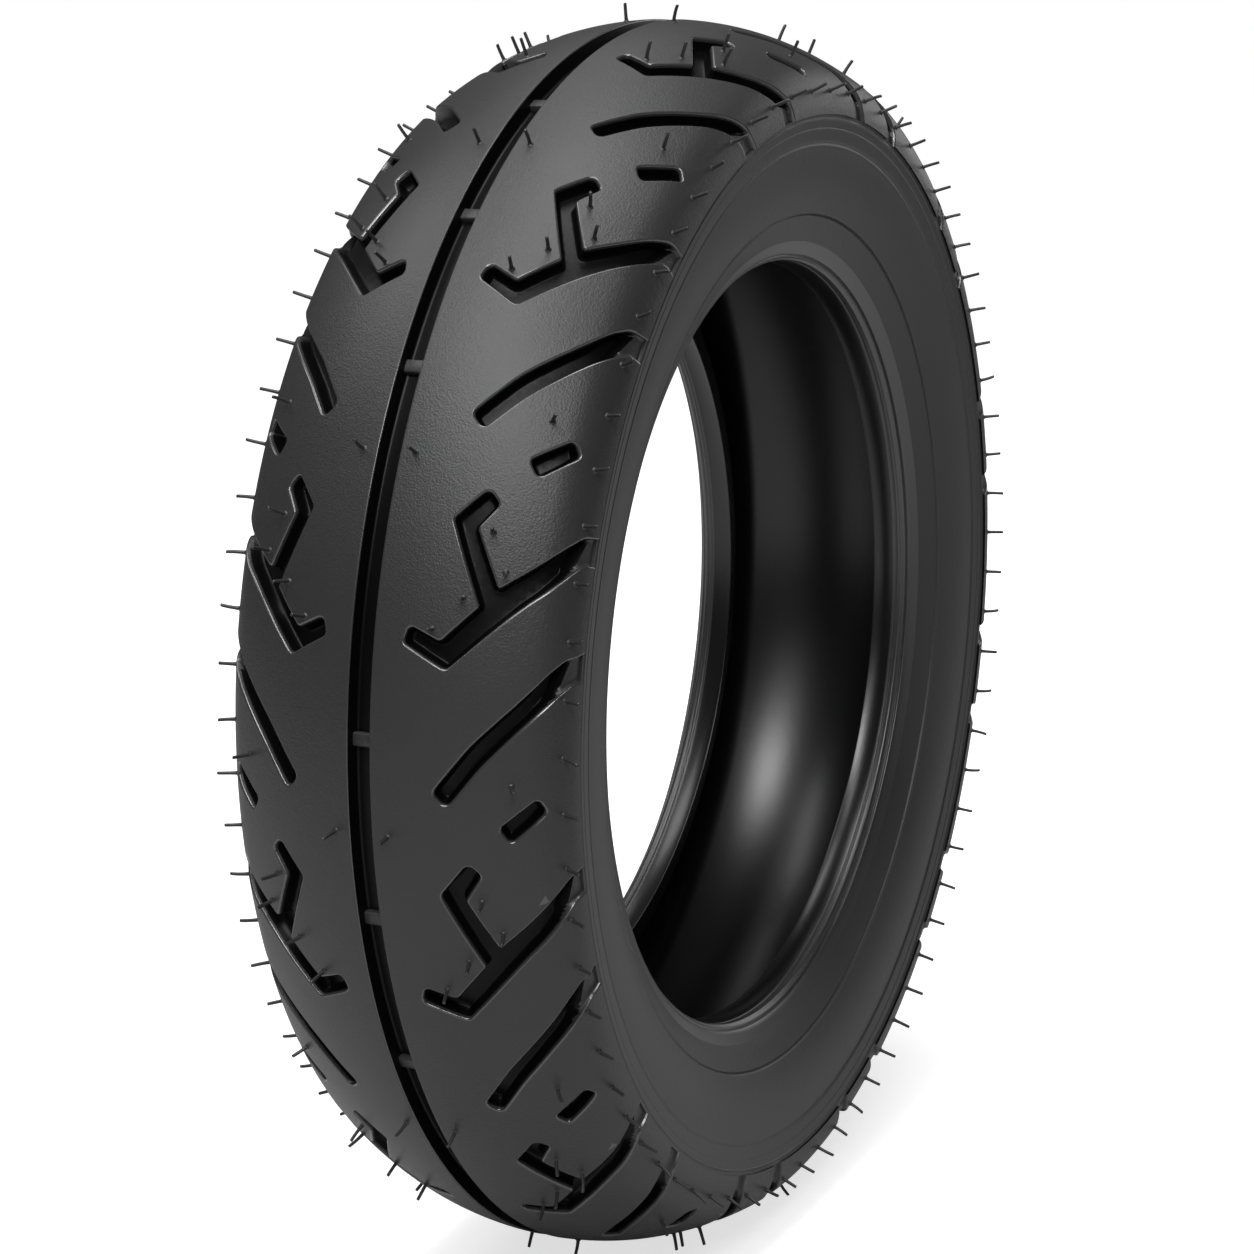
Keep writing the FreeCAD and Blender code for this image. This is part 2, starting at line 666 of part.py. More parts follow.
def vent_spews(name, places, side):
    """Thin rubber hairs left by the mould's vents. Each stands square on the tread.

    Those that the floor would flatten, under the lowest point of the tread, are left out.
    """
    hairs = []
    for pitch in range(PITCH_COUNT):
        for angle, axial in places:
            slope = math.radians(surface_normal(axial))
            turn = math.radians(angle + value("tread_phase") + pitch * 360 / PITCH_COUNT)
            outward = FreeCAD.Vector(math.cos(turn) * math.cos(slope), side * math.sin(slope),
                                     -math.sin(turn) * math.cos(slope))
            radial = value(surface_radial(axial))
            foot = FreeCAD.Vector(math.cos(turn) * radial, side * value(axial), -math.sin(turn) * radial)
            tip = foot + outward * value("spew_length")
            if tip.z > value("spew_floor_gap - tread_radius"):
                hair_radius = value("spew_diameter / 2")
                hairs.append(Part.makeCylinder(hair_radius, value("spew_length"), foot, outward))
    spews = doc.addObject("Part::Feature", name)
    spews.Label = name
    spews.Shape = Part.makeCompound(hairs)
    return spews


def build():
    """All the sub-parts, from the outside of the crown inwards, then side by side."""
    parts = [
        tread_cap(),
        crown_layer("tread_base", "cap_inner_radius", "base_inner_radius", "base_edge_angle"),
        crown_layer("breaker_ply_outer", "base_inner_radius", "breaker_middle_radius",
                    "outer_breaker_angle"),
        crown_layer("breaker_ply_inner", "breaker_middle_radius", "casing_crown_radius",
                    "inner_breaker_angle"),
        casing_layer("carcass_ply_outer", "0", "ply_thickness", "turnup_height"),
        casing_layer("carcass_ply_inner", "ply_thickness", "wrap_thickness",
                     "turnup_height - turnup_step"),
        casing_layer("inner_liner", "wrap_thickness", "wrap_thickness + liner_thickness"),
    ]
    for word, side in (("left", 1), ("right", -1)):
        wires = bead_wires("bead_wires_" + word, side)
        parts += [
            sidewall("sidewall_" + word, side),
            apex("apex_" + word, side),
            wires,
            bead_insulation("bead_insulation_" + word, side, wires),
            chafer("chafer_" + word, side),
            vent_spews("vent_spews_shoulder_" + word, SHOULDER_SPEWS, side),
            vent_spews("vent_spews_pitch_ends_" + word, PITCH_END_SPEWS, side),
            vent_spews("vent_spews_blocks_" + word, BLOCK_SPEWS, side),
            vent_spews("vent_spews_crown_" + word, CROWN_SPEWS, side),
        ]
    return parts


def check(parts):
    """Stop if any object failed to build or any sub-part's shape is not sound."""
    for item in doc.Objects:
        if "Invalid" in item.State or "Error" in item.State:
            raise RuntimeError("%s did not build: %s" % (item.Label, item.State))
    for part in parts:
        if part.Shape.isNull() or not part.Shape.isValid() or not part.Shape.Solids:
            raise RuntimeError("%s has no sound shape" % part.Label)


parts = build()
doc.recompute()
check(parts)
os.makedirs("parts", exist_ok=True)
for part in parts:
    part.Shape.exportStep("parts/%s.step" % part.Label)
    print("%-28s %4d solids %12.1f mm3" % (part.Label, len(part.Shape.Solids), part.Shape.Volume))
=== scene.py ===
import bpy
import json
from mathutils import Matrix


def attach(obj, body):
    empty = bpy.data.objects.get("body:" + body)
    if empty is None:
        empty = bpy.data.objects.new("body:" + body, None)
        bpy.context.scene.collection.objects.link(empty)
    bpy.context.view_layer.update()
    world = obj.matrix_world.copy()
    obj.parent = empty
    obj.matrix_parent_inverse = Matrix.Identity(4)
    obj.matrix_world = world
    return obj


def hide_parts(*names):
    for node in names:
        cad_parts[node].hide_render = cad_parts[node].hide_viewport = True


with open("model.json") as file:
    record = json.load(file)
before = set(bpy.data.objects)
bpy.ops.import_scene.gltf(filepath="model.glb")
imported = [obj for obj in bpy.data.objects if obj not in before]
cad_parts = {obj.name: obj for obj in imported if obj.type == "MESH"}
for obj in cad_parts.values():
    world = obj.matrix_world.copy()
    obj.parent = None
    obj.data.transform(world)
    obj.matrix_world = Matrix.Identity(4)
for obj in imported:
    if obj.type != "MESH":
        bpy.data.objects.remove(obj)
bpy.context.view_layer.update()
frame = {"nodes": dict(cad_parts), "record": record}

import json
import math

import bmesh
import bpy
import numpy as np
from mathutils import Matrix, Vector
from mathutils.geometry import delaunay_2d_cdt

# A tubeless motorcycle tyre about the wheel's centre: it spins about +Y, +Z is up, lengths in metres.
# "Axial" is the distance from the centre plane, "radial" the distance from the axle, and "depth" is
# measured into the rubber, square to its face. An angle round the tyre is counted from the front (-X)
# upwards.

MM = 0.001

# ---------------------------------------- sizes of the section
BEAD_SEAT_RADIUS = 152 * MM
SECTION_HEIGHT = 91.5 * MM
TREAD_RADIUS = BEAD_SEAT_RADIUS + SECTION_HEIGHT
HALF_WIDTH = 66.15 * MM
SHOULDER_DROP = 34.9 * MM
SHOULDER_RADIUS = 22 * MM
SIDEWALL_THICKNESS = 7.35 * MM
SIDEWALL_BULGE_RADIUS = 140 * MM
TREAD_STEP = 0.8 * MM
CAP_THICKNESS = 9.5 * MM
UNDER_CAP_THICKNESS = 3.9 * MM
WRAP_THICKNESS = 2.2 * MM
LINER_THICKNESS = 1.2 * MM
CHAFER_THICKNESS = 1.2 * MM
CHAFER_HEIGHT = 4 * MM
BEAD_CENTRE_AXIAL = 43 * MM
BEAD_CORE_RADIUS = (1.8 * math.sqrt(2) + 0.85) * MM
TURNUP_ANGLE = math.radians(110)
TOE_REACH = 1.7 * MM
TOE_DROP = 0.7 * MM
TOE_BEVEL = 1.6 * MM
GROOVE_DEPTH = 6 * MM
LIP_MARGIN = 0.6 * MM
CENTRE_GROOVE_HALF = 4.25 * MM
BASE_MARGIN = 4 * MM       # the tread base ends this far short of the casing's shoulder
TURNUP_HEIGHT = 14 * MM    # straight part of the plies that turn up round the bead

PITCH_COUNT = 12
PITCH = 2 * math.pi / PITCH_COUNT
TREAD_PHASE = math.radians(9.7)
PITCH_VARIATION = math.radians(1.9)

# ---------------------------------------- lengths that follow
shoulder_radial = TREAD_RADIUS - SHOULDER_DROP
shoulder_axial = HALF_WIDTH - SHOULDER_RADIUS
crown_radius = ((shoulder_axial ** 2 + SHOULDER_DROP ** 2 - SHOULDER_RADIUS ** 2)
                / (2 * (SHOULDER_DROP - SHOULDER_RADIUS)))
crown_centre = TREAD_RADIUS - crown_radius
shoulder_angle = math.atan2(shoulder_axial, shoulder_radial - crown_centre)
crown_length = crown_radius * shoulder_angle
half_length = crown_length + SHOULDER_RADIUS * (math.pi / 2 - shoulder_angle)
casing_crown_radius = crown_radius - CAP_THICKNESS - UNDER_CAP_THICKNESS
casing_half_width = HALF_WIDTH - SIDEWALL_THICKNESS
casing_shoulder_radial = (BEAD_SEAT_RADIUS + TREAD_RADIUS) / 2
casing_rise = casing_shoulder_radial - crown_centre
casing_shoulder_radius = ((casing_crown_radius ** 2 - casing_half_width ** 2 - casing_rise ** 2)
                          / (2 * (casing_crown_radius - casing_half_width)))
casing_shoulder_axial = casing_half_width - casing_shoulder_radius
casing_shoulder_angle = math.atan2(casing_shoulder_axial, casing_rise)
bead_centre_radial = BEAD_SEAT_RADIUS + CHAFER_THICKNESS + WRAP_THICKNESS + BEAD_CORE_RADIUS
bead_offset = (BEAD_CENTRE_AXIAL - casing_shoulder_axial, bead_centre_radial - casing_shoulder_radial)
flank_angle = (math.atan2(*bead_offset)
               - math.acos((casing_shoulder_radius + BEAD_CORE_RADIUS) / math.hypot(*bead_offset)))
wrapped_radius = BEAD_CORE_RADIUS + WRAP_THICKNESS
bead_reach = wrapped_radius + CHAFER_THICKNESS
base_edge_angle = casing_shoulder_angle - BASE_MARGIN / casing_crown_radius
# The edge of the cap on its inner side, where it meets the tread base and the sidewall.
tread_lip = (HALF_WIDTH - GROOVE_DEPTH - LIP_MARGIN, shoulder_radial)

CROWN = (0.0, crown_centre)
SHOULDER = (shoulder_axial, shoulder_radial)
CASING = (casing_shoulder_axial, casing_shoulder_radial)
BEAD = (BEAD_CENTRE_AXIAL, bead_centre_radial)


def polar(centre, radius, angle):
    """The (axial, radial) point round a centre, with the angle counted from outward towards the side."""
    return centre[0] + radius * math.sin(angle), centre[1] + radius * math.cos(angle)


def arc(centre, radius, first, last, step=0.03):
    """Points along an arc, both ends included."""
    count = max(2, int(abs(last - first) / step) + 1)
    return [polar(centre, radius, first + (last - first) * k / count) for k in range(count + 1)]


def along(point, angle, distance):
    """The point this far along the tangent direction of an angle, back towards the crown."""
    return point[0] - distance * math.cos(angle), point[1] + distance * math.sin(angle)


wall_foot = along(polar(BEAD, bead_reach, TURNUP_ANGLE), TURNUP_ANGLE, CHAFER_HEIGHT)
wall_top = (HALF_WIDTH - TREAD_STEP, shoulder_radial)


# ---------------------------------------- meshes
SEAM = 0.003 * MM
RING_SEGMENTS = 480
HARD_EDGE = 50.0    # degrees between two faces above which their edge stays crisp
SOFT_EDGE = 40.0


def join_seams(mesh):
    """Join the points where patches of a mesh meet, and turn all its faces outward."""
    work = bmesh.new()
    work.from_mesh(mesh)
    bmesh.ops.remove_doubles(work, verts=work.verts, dist=SEAM)
    bmesh.ops.recalc_face_normals(work, faces=work.faces)
    work.to_mesh(mesh)
    work.free()


def new_piece(name, vertices, faces, material, sharp=HARD_EDGE, patches=False):
    """A mesh object that rides with the tyre, smooth except where its faces meet at a sharp angle."""
    mesh = bpy.data.meshes.new(name)
    mesh.from_pydata([tuple(v) for v in vertices], [], faces)
    mesh.validate()
    if patches:
        join_seams(mesh)
    mesh.shade_smooth()
    mesh.set_sharp_from_angle(angle=math.radians(sharp))
    mesh.materials.append(material)
    piece = bpy.data.objects.new(name, mesh)
    bpy.context.scene.collection.objects.link(piece)
    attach(piece, "root")
    return piece


def around(axial, radial, angle):
    """The point in space at this angle round the tyre."""
    return -radial * math.cos(angle), axial, radial * math.sin(angle)


def lathe(name, profile, material, side=1):
    """A closed ring turned from a closed profile of (axial, radial) points."""
    count = len(profile)
    angles = np.arange(RING_SEGMENTS) * 2 * math.pi / RING_SEGMENTS
    points = np.array(profile)
    vertices = np.empty((RING_SEGMENTS, count, 3))
    vertices[:, :, 0] = -np.cos(angles)[:, None] * points[None, :, 1]
    vertices[:, :, 1] = side * points[None, :, 0]
    vertices[:, :, 2] = np.sin(angles)[:, None] * points[None, :, 1]
    faces = []
    for i in range(RING_SEGMENTS):
        for j in range(count):
            here, ahead = i * count, ((i + 1) % RING_SEGMENTS) * count
            following = (j + 1) % count
            faces.append((here + j, here + following, ahead + following, ahead + j))
    area = sum(p[0] * q[1] - q[0] * p[1] for p, q in zip(profile, profile[1:] + profile[:1]))
    if area * side < 0:
        faces = [face[::-1] for face in faces]
    return new_piece(name, vertices.reshape(-1, 3), faces, material)


# ---------------------------------------- materials
MOTTLE_SCALE = 14
MOTTLE_DETAIL = 6
MOTTLE_RANGE = (0.3, 0.7)
GRAIN_DETAIL = 3
RING_MARK_SCALE = 900
RING_MARK_DETAIL = 2
CORD_SCALE = 300
CORD_HEIGHT = 0.2 * MM


def noise(nodes, links, vector, scale, detail):
    """A noise texture read at this vector."""
    texture = nodes.new("ShaderNodeTexNoise")
    texture.inputs["Scale"].default_value = scale
    texture.inputs["Detail"].default_value = detail
    links.new(vector, texture.inputs["Vector"])
    return texture.outputs["Fac"]


def bump(nodes, links, height, distance, below=None):
    """A bump of this height in metres, on top of another normal if there is one."""
    raised = nodes.new("ShaderNodeBump")
    raised.inputs["Distance"].default_value = distance
    links.new(height, raised.inputs["Height"])
    if below:
        links.new(below, raised.inputs["Normal"])
    return raised.outputs["Normal"]


def distance_node(nodes, links, place, axes):
    """Length of this vector over the axes that have a 1."""
    flat = nodes.new("ShaderNodeVectorMath")
    flat.operation = "MULTIPLY"
    flat.inputs[1].default_value = axes
    links.new(place, flat.inputs[0])
    length = nodes.new("ShaderNodeVectorMath")
    length.operation = "LENGTH"
    links.new(flat.outputs["Vector"], length.inputs[0])
    return length.outputs["Value"]


def ring_coordinate(nodes, links, place):
    """A vector that changes only with the distance from the axle, for marks that run round the tyre."""
    packed = nodes.new("ShaderNodeCombineXYZ")
    links.new(distance_node(nodes, links, place, (1, 0, 1)), packed.inputs["X"])
    return packed.outputs["Vector"]


def rubber(name, colour, roughness, grains, mottle=0.10, specular=0.5, ring_marks=0.0, gloss_spread=0.08):
    """Moulded rubber: a faint mottle in colour and gloss, grains raised on the face and, where asked for,
    fine marks that run round the tyre. Grains are (scale, height in metres)."""
    material = bpy.data.materials.new(name)
    material.use_nodes = True
    nodes, links = material.node_tree.nodes, material.node_tree.links
    shader = nodes["Principled BSDF"]
    shader.inputs["Specular IOR Level"].default_value = specular
    place = nodes.new("ShaderNodeTexCoord").outputs["Object"]
    broad = noise(nodes, links, place, MOTTLE_SCALE, MOTTLE_DETAIL)

    tint = nodes.new("ShaderNodeValToRGB")
    for stop, position, share in zip(tint.color_ramp.elements, MOTTLE_RANGE, (1 - mottle, 1 + mottle)):
        stop.position = position
        stop.color = (*[c * share for c in colour], 1)
    links.new(broad, tint.inputs["Fac"])
    links.new(tint.outputs["Color"], shader.inputs["Base Color"])

    gloss = nodes.new("ShaderNodeMapRange")
    gloss.inputs["To Min"].default_value = roughness * (1 - gloss_spread)
    gloss.inputs["To Max"].default_value = roughness * (1 + gloss_spread)
    links.new(broad, gloss.inputs["Value"])
    links.new(gloss.outputs["Result"], shader.inputs["Roughness"])

    normal = None
    for scale, height in grains:
        normal = bump(nodes, links, noise(nodes, links, place, scale, GRAIN_DETAIL), height, normal)
    if ring_marks:
        marks = noise(nodes, links, ring_coordinate(nodes, links, place), RING_MARK_SCALE, RING_MARK_DETAIL)
        normal = bump(nodes, links, marks, ring_marks, normal)
    links.new(normal, shader.inputs["Normal"])
    return material


tread_rubber = rubber("tread_rubber", (0.020, 0.020, 0.021), 0.43, [(450, 0.00007), (1400, 0.00016)])
# Near-black rubber on the grooves' deep walls and floors: painted shade for the dark inside the grooves.
groove_painted_shade = rubber("groove_painted_shade", (0.002, 0.002, 0.0021), 0.34, [(700, 0.00003)], specular=0.14)
# Glossier rubber on the grooves' lips, lighter in colour than the tread as a painted highlight.
lip_gloss_and_highlight = rubber("lip_gloss_and_highlight", (0.030, 0.030, 0.031), 0.22, [(900, 0.00001)], specular=1.0)
side_rubber = rubber("sidewall_rubber", (0.024, 0.024, 0.025), 0.46, [(260, 0.00007), (1200, 0.00007)],
                     ring_marks=0.00002)
chafer_rubber = rubber("chafer_rubber", (0.018, 0.018, 0.019), 0.36, [(700, 0.00003)], specular=1.0,
                       ring_marks=0.00003)
liner_rubber = rubber("liner_rubber", (0.002, 0.002, 0.0022), 0.29, [(300, 0.00002), (1500, 0.00002)],
                      specular=0.60)
spew_rubber = rubber("spew_rubber", (0.018, 0.018, 0.019), 0.42, [(1500, 0.00002)])
hidden_rubber = rubber("hidden_rubber", (0.03, 0.03, 0.03), 0.6, [(800, 0.00004)], mottle=0.25)


def cord_fabric():
    """Rubber-coated textile cord, with the cords lying slantwise."""
    material = rubber("cord_fabric", (0.10, 0.075, 0.05), 0.7, [(900, 0.00004)], mottle=0.25)
    nodes, links = material.node_tree.nodes, material.node_tree.links
    cords = nodes.new("ShaderNodeTexWave")
    cords.wave_type = "BANDS"
    cords.bands_direction = "DIAGONAL"
    cords.inputs["Scale"].default_value = CORD_SCALE
    links.new(nodes.new("ShaderNodeTexCoord").outputs["Object"], cords.inputs["Vector"])
    raised = bump(nodes, links, cords.outputs["Fac"], CORD_HEIGHT)
    links.new(raised, nodes["Principled BSDF"].inputs["Normal"])
    return material


def bead_steel():
    """Bronze-coated steel wire with faint drawing marks."""
    material = rubber("bead_steel", (0.55, 0.42, 0.26), 0.35, [(1200, 0.00002)], mottle=0.2)
    material.node_tree.nodes["Principled BSDF"].inputs["Metallic"].default_value = 1.0
    return material


def dress_hidden_nodes():
    """The layers sealed inside the tyre keep their CAD meshes and get their own finishes."""
    finishes = {"cord_fabric": cord_fabric(), "bead_steel": bead_steel()}
    slots = {entry["node"]: entry["material_slot"] for entry in frame["record"]["subparts"]}
    for node, piece in frame["nodes"].items():
        piece.data.materials.clear()
        piece.data.materials.append(finishes.get(slots[node], hidden_rubber))


dress_hidden_nodes()


# ---------------------------------------- tread pattern
def face_point(distance):
    """Axial, radial and slope of the tread's face at this distance from its centre line, along the face."""
    if distance < crown_length:
        slope = distance / crown_radius
        axial, radial = polar(CROWN, crown_radius, slope)
    else:
        slope = shoulder_angle + (distance - crown_length) / SHOULDER_RADIUS
        axial, radial = polar(SHOULDER, SHOULDER_RADIUS, slope)
    return axial, radial, slope


def face_distance(axial):
    """Distance along the face from the centre line to the point that is this far from the centre plane."""
    if axial < crown_radius * math.sin(shoulder_angle):
        return crown_radius * math.asin(axial / crown_radius)
    share = min(1.0, (axial - shoulder_axial) / SHOULDER_RADIUS)
    return crown_length + SHOULDER_RADIUS * (math.asin(share) - shoulder_angle)


EDGE = None    # a corner on the tread's very edge, where a groove runs out

# Outlines of one pitch's grooves: corners as (angle from the middle of the pitch in degrees,
# axial in millimetres, corner radius in millimetres). EDGE corners lie on the edge of the tread.
GROOVES = {
    "hook": [
        (9.3, EDGE, 0), (9.2, 65.3, 6), (8.0, 62.8, 60), (6.6, 58.4, 60), (5.4, 53.4, 60), (4.1, 48.2, 60),
        (1.3, 37.1, 60), (-0.45, 29.8, 2.2), (1.4, 14.8, 2.0), (2.8, 16.5, 2.0), (1.7, 27.3, 2.0),
        (4.7, 38.9, 1.2), (11.3, 27.0, 2.0), (14.0, 36.7, 2.2), (12.9, 40.9, 2.2), (10.8, 35.1, 2.0),
        (6.2, 44.0, 1.2), (7.9, 52.4, 60), (9.1, 57.5, 60), (10.4, 61.9, 60), (11.5, 64.7, 8),
        (11.9, EDGE, 0),
    ],
    "slash": [
        (-0.9, EDGE, 0), (-1.2, 65.3, 6), (-2.05, 63.1, 60), (-3.4, 58.7, 60), (-4.9, 53.3, 60),
        (-8.0, 41.7, 60), (-11.35, 30.8, 2.4), (-10.2, 26.0, 2.4), (-6.35, 38.6, 60), (-2.95, 52.0, 60),
        (-1.5, 57.0, 60), (-0.1, 61.0, 60), (0.9, 64.0, 8), (1.6, EDGE, 0),
    ],
    "slot": [(-14.45, 50.4, 2.0), (-13.1, 47.0, 2.0), (-10.7, 58.5, 2.0), (-11.95, 60.9, 2.0)],
}

# Rings from the face down a groove's wall to its floor, as (distance outside the outline, depth).
WALL_RINGS = [
    (0.95, 0.0), (0.72, 0.0), (0.42, 0.13), (0.16, 0.36), (0.01, 0.72), (-0.10, 1.6),
    (-0.24, 3.1), (-0.46, 4.4), (-0.88, 5.35), (-1.35, 5.82), (-1.8, 6.0),
]
# A groove that runs out at the side gets shallower there: its floor rises to a share of its depth over
# a short way, and keeps that depth for its exit's length up to the tread's edge. The rise lies slantwise,
# so that the groove stays deep for longer along its upper wall.
EXIT_SHARE = 0.28
EXIT_SLANT = 0.45
EXIT_RISE = 2.8 * MM
EXIT_LENGTHS = {"hook": 6.0 * MM, "slash": 7.5 * MM, "slot": 0.0}
# The rounded lips of the grooves, between these depths, come out of the mould glossier; their lighter colour
# is a painted highlight.
LIP_DEPTHS = (0.055 * MM, 0.8 * MM)
PAINTED_SHADE_MARGIN = 0.2 * MM       # the painted groove shade begins this far below the floors of the ways out
LIP_REACH = 0.95 * MM        # how far a groove's rounded lip reaches outside its outline
GRID_ROUND = 3.6 * MM
GRID_ACROSS = 2.6 * MM
CREASE_STEP = 1.2 * MM
OUTLINE_STEP = 2.2 * MM
CLOSEST = 0.3 * MM           # least distance between an outline's points
FACE_CLEARANCE = 0.7 * MM    # least distance from an outline to the grid on the face
BASE_CLEARANCE = 0.5 * MM    # and to the grid on a groove's floor
CORNER_SHARE = 0.46          # the most of a side that one rounded corner may take
CORNER_STEP = 0.3            # turn between a rounded corner's points
SHARPEST = 0.6               # limits how far a mitred corner moves out


def varied(angle):
    """Angle round the tyre once the pitches are made a little longer in front and shorter behind."""
    return angle + PITCH_VARIATION * math.sin(angle - TREAD_PHASE)


class Exit:
    """Where a groove gets shallower on its way out to the tread's edge."""

    def __init__(self, kind):
        ends = [angle for angle, axial, _ in GROOVES[kind] if axial is EDGE]
        self.slant = EXIT_SLANT if ends else 0.0
        self.middle = math.radians(sum(ends) / 2) * TREAD_RADIUS
        self.levels = (half_length - EXIT_LENGTHS[kind] - EXIT_RISE, half_length - EXIT_LENGTHS[kind])

    def progress(self, x, y):
        """How far along the slanted way out a point of the unrolled tread lies."""
        return y - self.slant * (x - self.middle)

    def share(self, x, y):
        """Share of the groove's depth that is left at this point."""
        part = (self.progress(x, y) - self.levels[0]) / EXIT_RISE
        return 1 - (1 - EXIT_SHARE) * min(1.0, max(0.0, part))

    def creases(self, x):
        """The points at this place round the crown where the floor's slope changes."""
        return [(x, level + self.slant * (x - self.middle)) for level in self.levels]

    def lowered(self, ring, depth):
        """The ring's points with their depths."""
        return [(x, y, depth * self.share(x, y)) for x, y in ring]


def flat_point(angle_degrees, axial_mm):
    """A corner on the unrolled tread: (distance round the crown, distance across the face)."""
    across = half_length if axial_mm is EDGE else face_distance(axial_mm * MM)
    return Vector((math.radians(angle_degrees) * TREAD_RADIUS, across))


def rounded(corners, closed):
    """The outline's points with each corner rounded to its radius."""
    spots = [flat_point(angle, axial) for angle, axial, _ in corners]
    radii = [radius * MM for _, _, radius in corners]
    count = len(spots)
    path = []
    for k, spot in enumerate(spots):
        if not closed and k in (0, count - 1):
            path.append(spot.copy())
            continue
        before, after = spots[k - 1], spots[(k + 1) % count]
        back, ahead = before - spot, after - spot
        room = CORNER_SHARE * min(back.length, ahead.length)
        back.normalize()
        ahead.normalize()
        turn = math.pi - back.angle(ahead)
        cut = min(radii[k] * math.tan(turn / 2), room)
        radius = cut / math.tan(turn / 2)
        bisector = (back + ahead).normalized()
        middle = spot + bisector * math.hypot(radius, cut)
        first = spot + back * cut - middle
        sense = 1 if back.cross(ahead) < 0 else -1
        steps = max(2, int(turn / CORNER_STEP))
        for step in range(steps + 1):
            angle = sense * turn * step / steps
            path.append(middle + Vector((first.x * math.cos(angle) - first.y * math.sin(angle),
                                         first.x * math.sin(angle) + first.y * math.cos(angle))))
    return path


def thinned(path):
    """The path without points that almost coincide with the one before."""
    kept = [path[0]]
    for point in path[1:-1]:
        if (point - kept[-1]).length > CLOSEST and (point - path[-1]).length > CLOSEST:
            kept.append(point)
    return kept + [path[-1]]


def resampled(path, closed, step):
    """The path with points added so that none is further than a step from the next."""
    dense = []
    pairs = list(zip(path, path[1:] + path[:1])) if closed else list(zip(path, path[1:]))
    for start, end in pairs:
        parts = max(1, math.ceil((end - start).length / step))
        dense += [start.lerp(end, k / parts) for k in range(parts)]
    if not closed:
        dense.append(path[-1])
    return dense


def side_directions(path, closed):
    """Unit vectors square to the path, pointing out of the groove it surrounds."""
    area = sum(a.x * b.y - b.x * a.y for a, b in zip(path, path[1:] + path[:1]))
    sign = 1 if area > 0 else -1
    directions = []
    for k, point in enumerate(path):
        tangents = []
        if closed or k > 0:
            tangents.append((point - path[k - 1]).normalized())
        if closed or k < len(path) - 1:
            tangents.append((path[(k + 1) % len(path)] - point).normalized())
        total = tangents[0] + tangents[-1]
        total.normalize()
        direction = Vector((total.y, -total.x)) * sign
        stretch = 1 / max(SHARPEST, total.dot(tangents[0]))
        directions.append(direction * stretch)
    return directions


def split_at(path, way_out):
    """The path with points added where the floor's slope changes."""
    result = [path[0]]
    for start, end in zip(path, path[1:]):
        first, last = way_out.progress(*start), way_out.progress(*end)
        crossed = [(level - first) / (last - first) for level in way_out.levels
                   if (first - level) * (last - level) < 0]
        result += [start.lerp(end, share) for share in sorted(crossed)]
        result.append(end)
    return result


def groove_rings(corners, way_out):
    """The groove's rings, each a list of (round, across) points with its depth, and whether they close."""
    closed = corners[0][1] is not EDGE
    path = resampled(thinned(split_at(rounded(corners, closed), way_out)), closed, OUTLINE_STEP)
    directions = side_directions(path, closed)
    rings = []
    for offset, depth in WALL_RINGS:
        ring = [point + direction * offset * MM for point, direction in zip(path, directions)]
        if not closed:
            ring[0].y = half_length
            ring[-1].y = half_length
        rings.append(([(p.x, p.y) for p in ring], depth * MM))
    return rings, closed


TINY = 1e-12         # keeps a division from meeting zero
SAME_PLACE = 1e-6
MERGE_DISTANCE = 1e-7


def inside(points, polygon):
    """Which of the points lie in the polygon."""
    x, y = points[:, 0], points[:, 1]
    result = np.zeros(len(points), bool)
    for (x1, y1), (x2, y2) in zip(polygon, polygon[1:] + polygon[:1]):
        crosses = (y1 > y) != (y2 > y)
        height = y2 - y1 if abs(y2 - y1) > TINY else TINY
        result ^= crosses & (x < (x2 - x1) * (y - y1) / height + x1)
    return result


def distance_to(points, polygon, closed):
    """Distance from each point to the polygon's edges."""
    best = np.full(len(points), np.inf)
    ends = polygon[1:] + polygon[:1] if closed else polygon[1:]
    for start, end in zip(polygon, ends):
        a, b = np.array(start), np.array(end)
        span = b - a
        share = np.clip(((points - a) @ span) / max(span @ span, TINY), 0, 1)
        best = np.minimum(best, np.linalg.norm(points - (a + share[:, None] * span), axis=1))
    return best


def triangulated(boundaries, grid):
    """Triangles of the plane through the grid points, with the boundary lines kept as edges."""
    points, edges = [], []
    for line, closed in boundaries:
        first = len(points)
        points += line
        edges += [(first + k, first + k + 1) for k in range(len(line) - 1)]
        if closed:
            edges.append((first + len(line) - 1, first))
    points += grid
    result = delaunay_2d_cdt([Vector(p) for p in points], edges, [], 0, MERGE_DISTANCE)
    return np.array([tuple(v) for v in result[0]]), [tuple(face) for face in result[2]]


class Sheet:
    """Collects the faces of half the tread in one pitch, as (round, across, depth) points."""

    def __init__(self):
        self.points = []
        self.faces = []

    def add(self, points, faces):
        """Add a patch whose faces count its own points from zero."""
        first = len(self.points)
        self.points += [tuple(p) for p in points]
        self.faces += [tuple(first + k for k in face) for face in faces]


def strip(sheet, upper, lower, closed):
    """Quads between two rings with equally many points."""
    count = len(upper)
    faces = []
    for k in range(count if closed else count - 1):
        following = (k + 1) % count
        faces.append((k, following, count + following, count + k))
    sheet.add(upper + lower, faces)


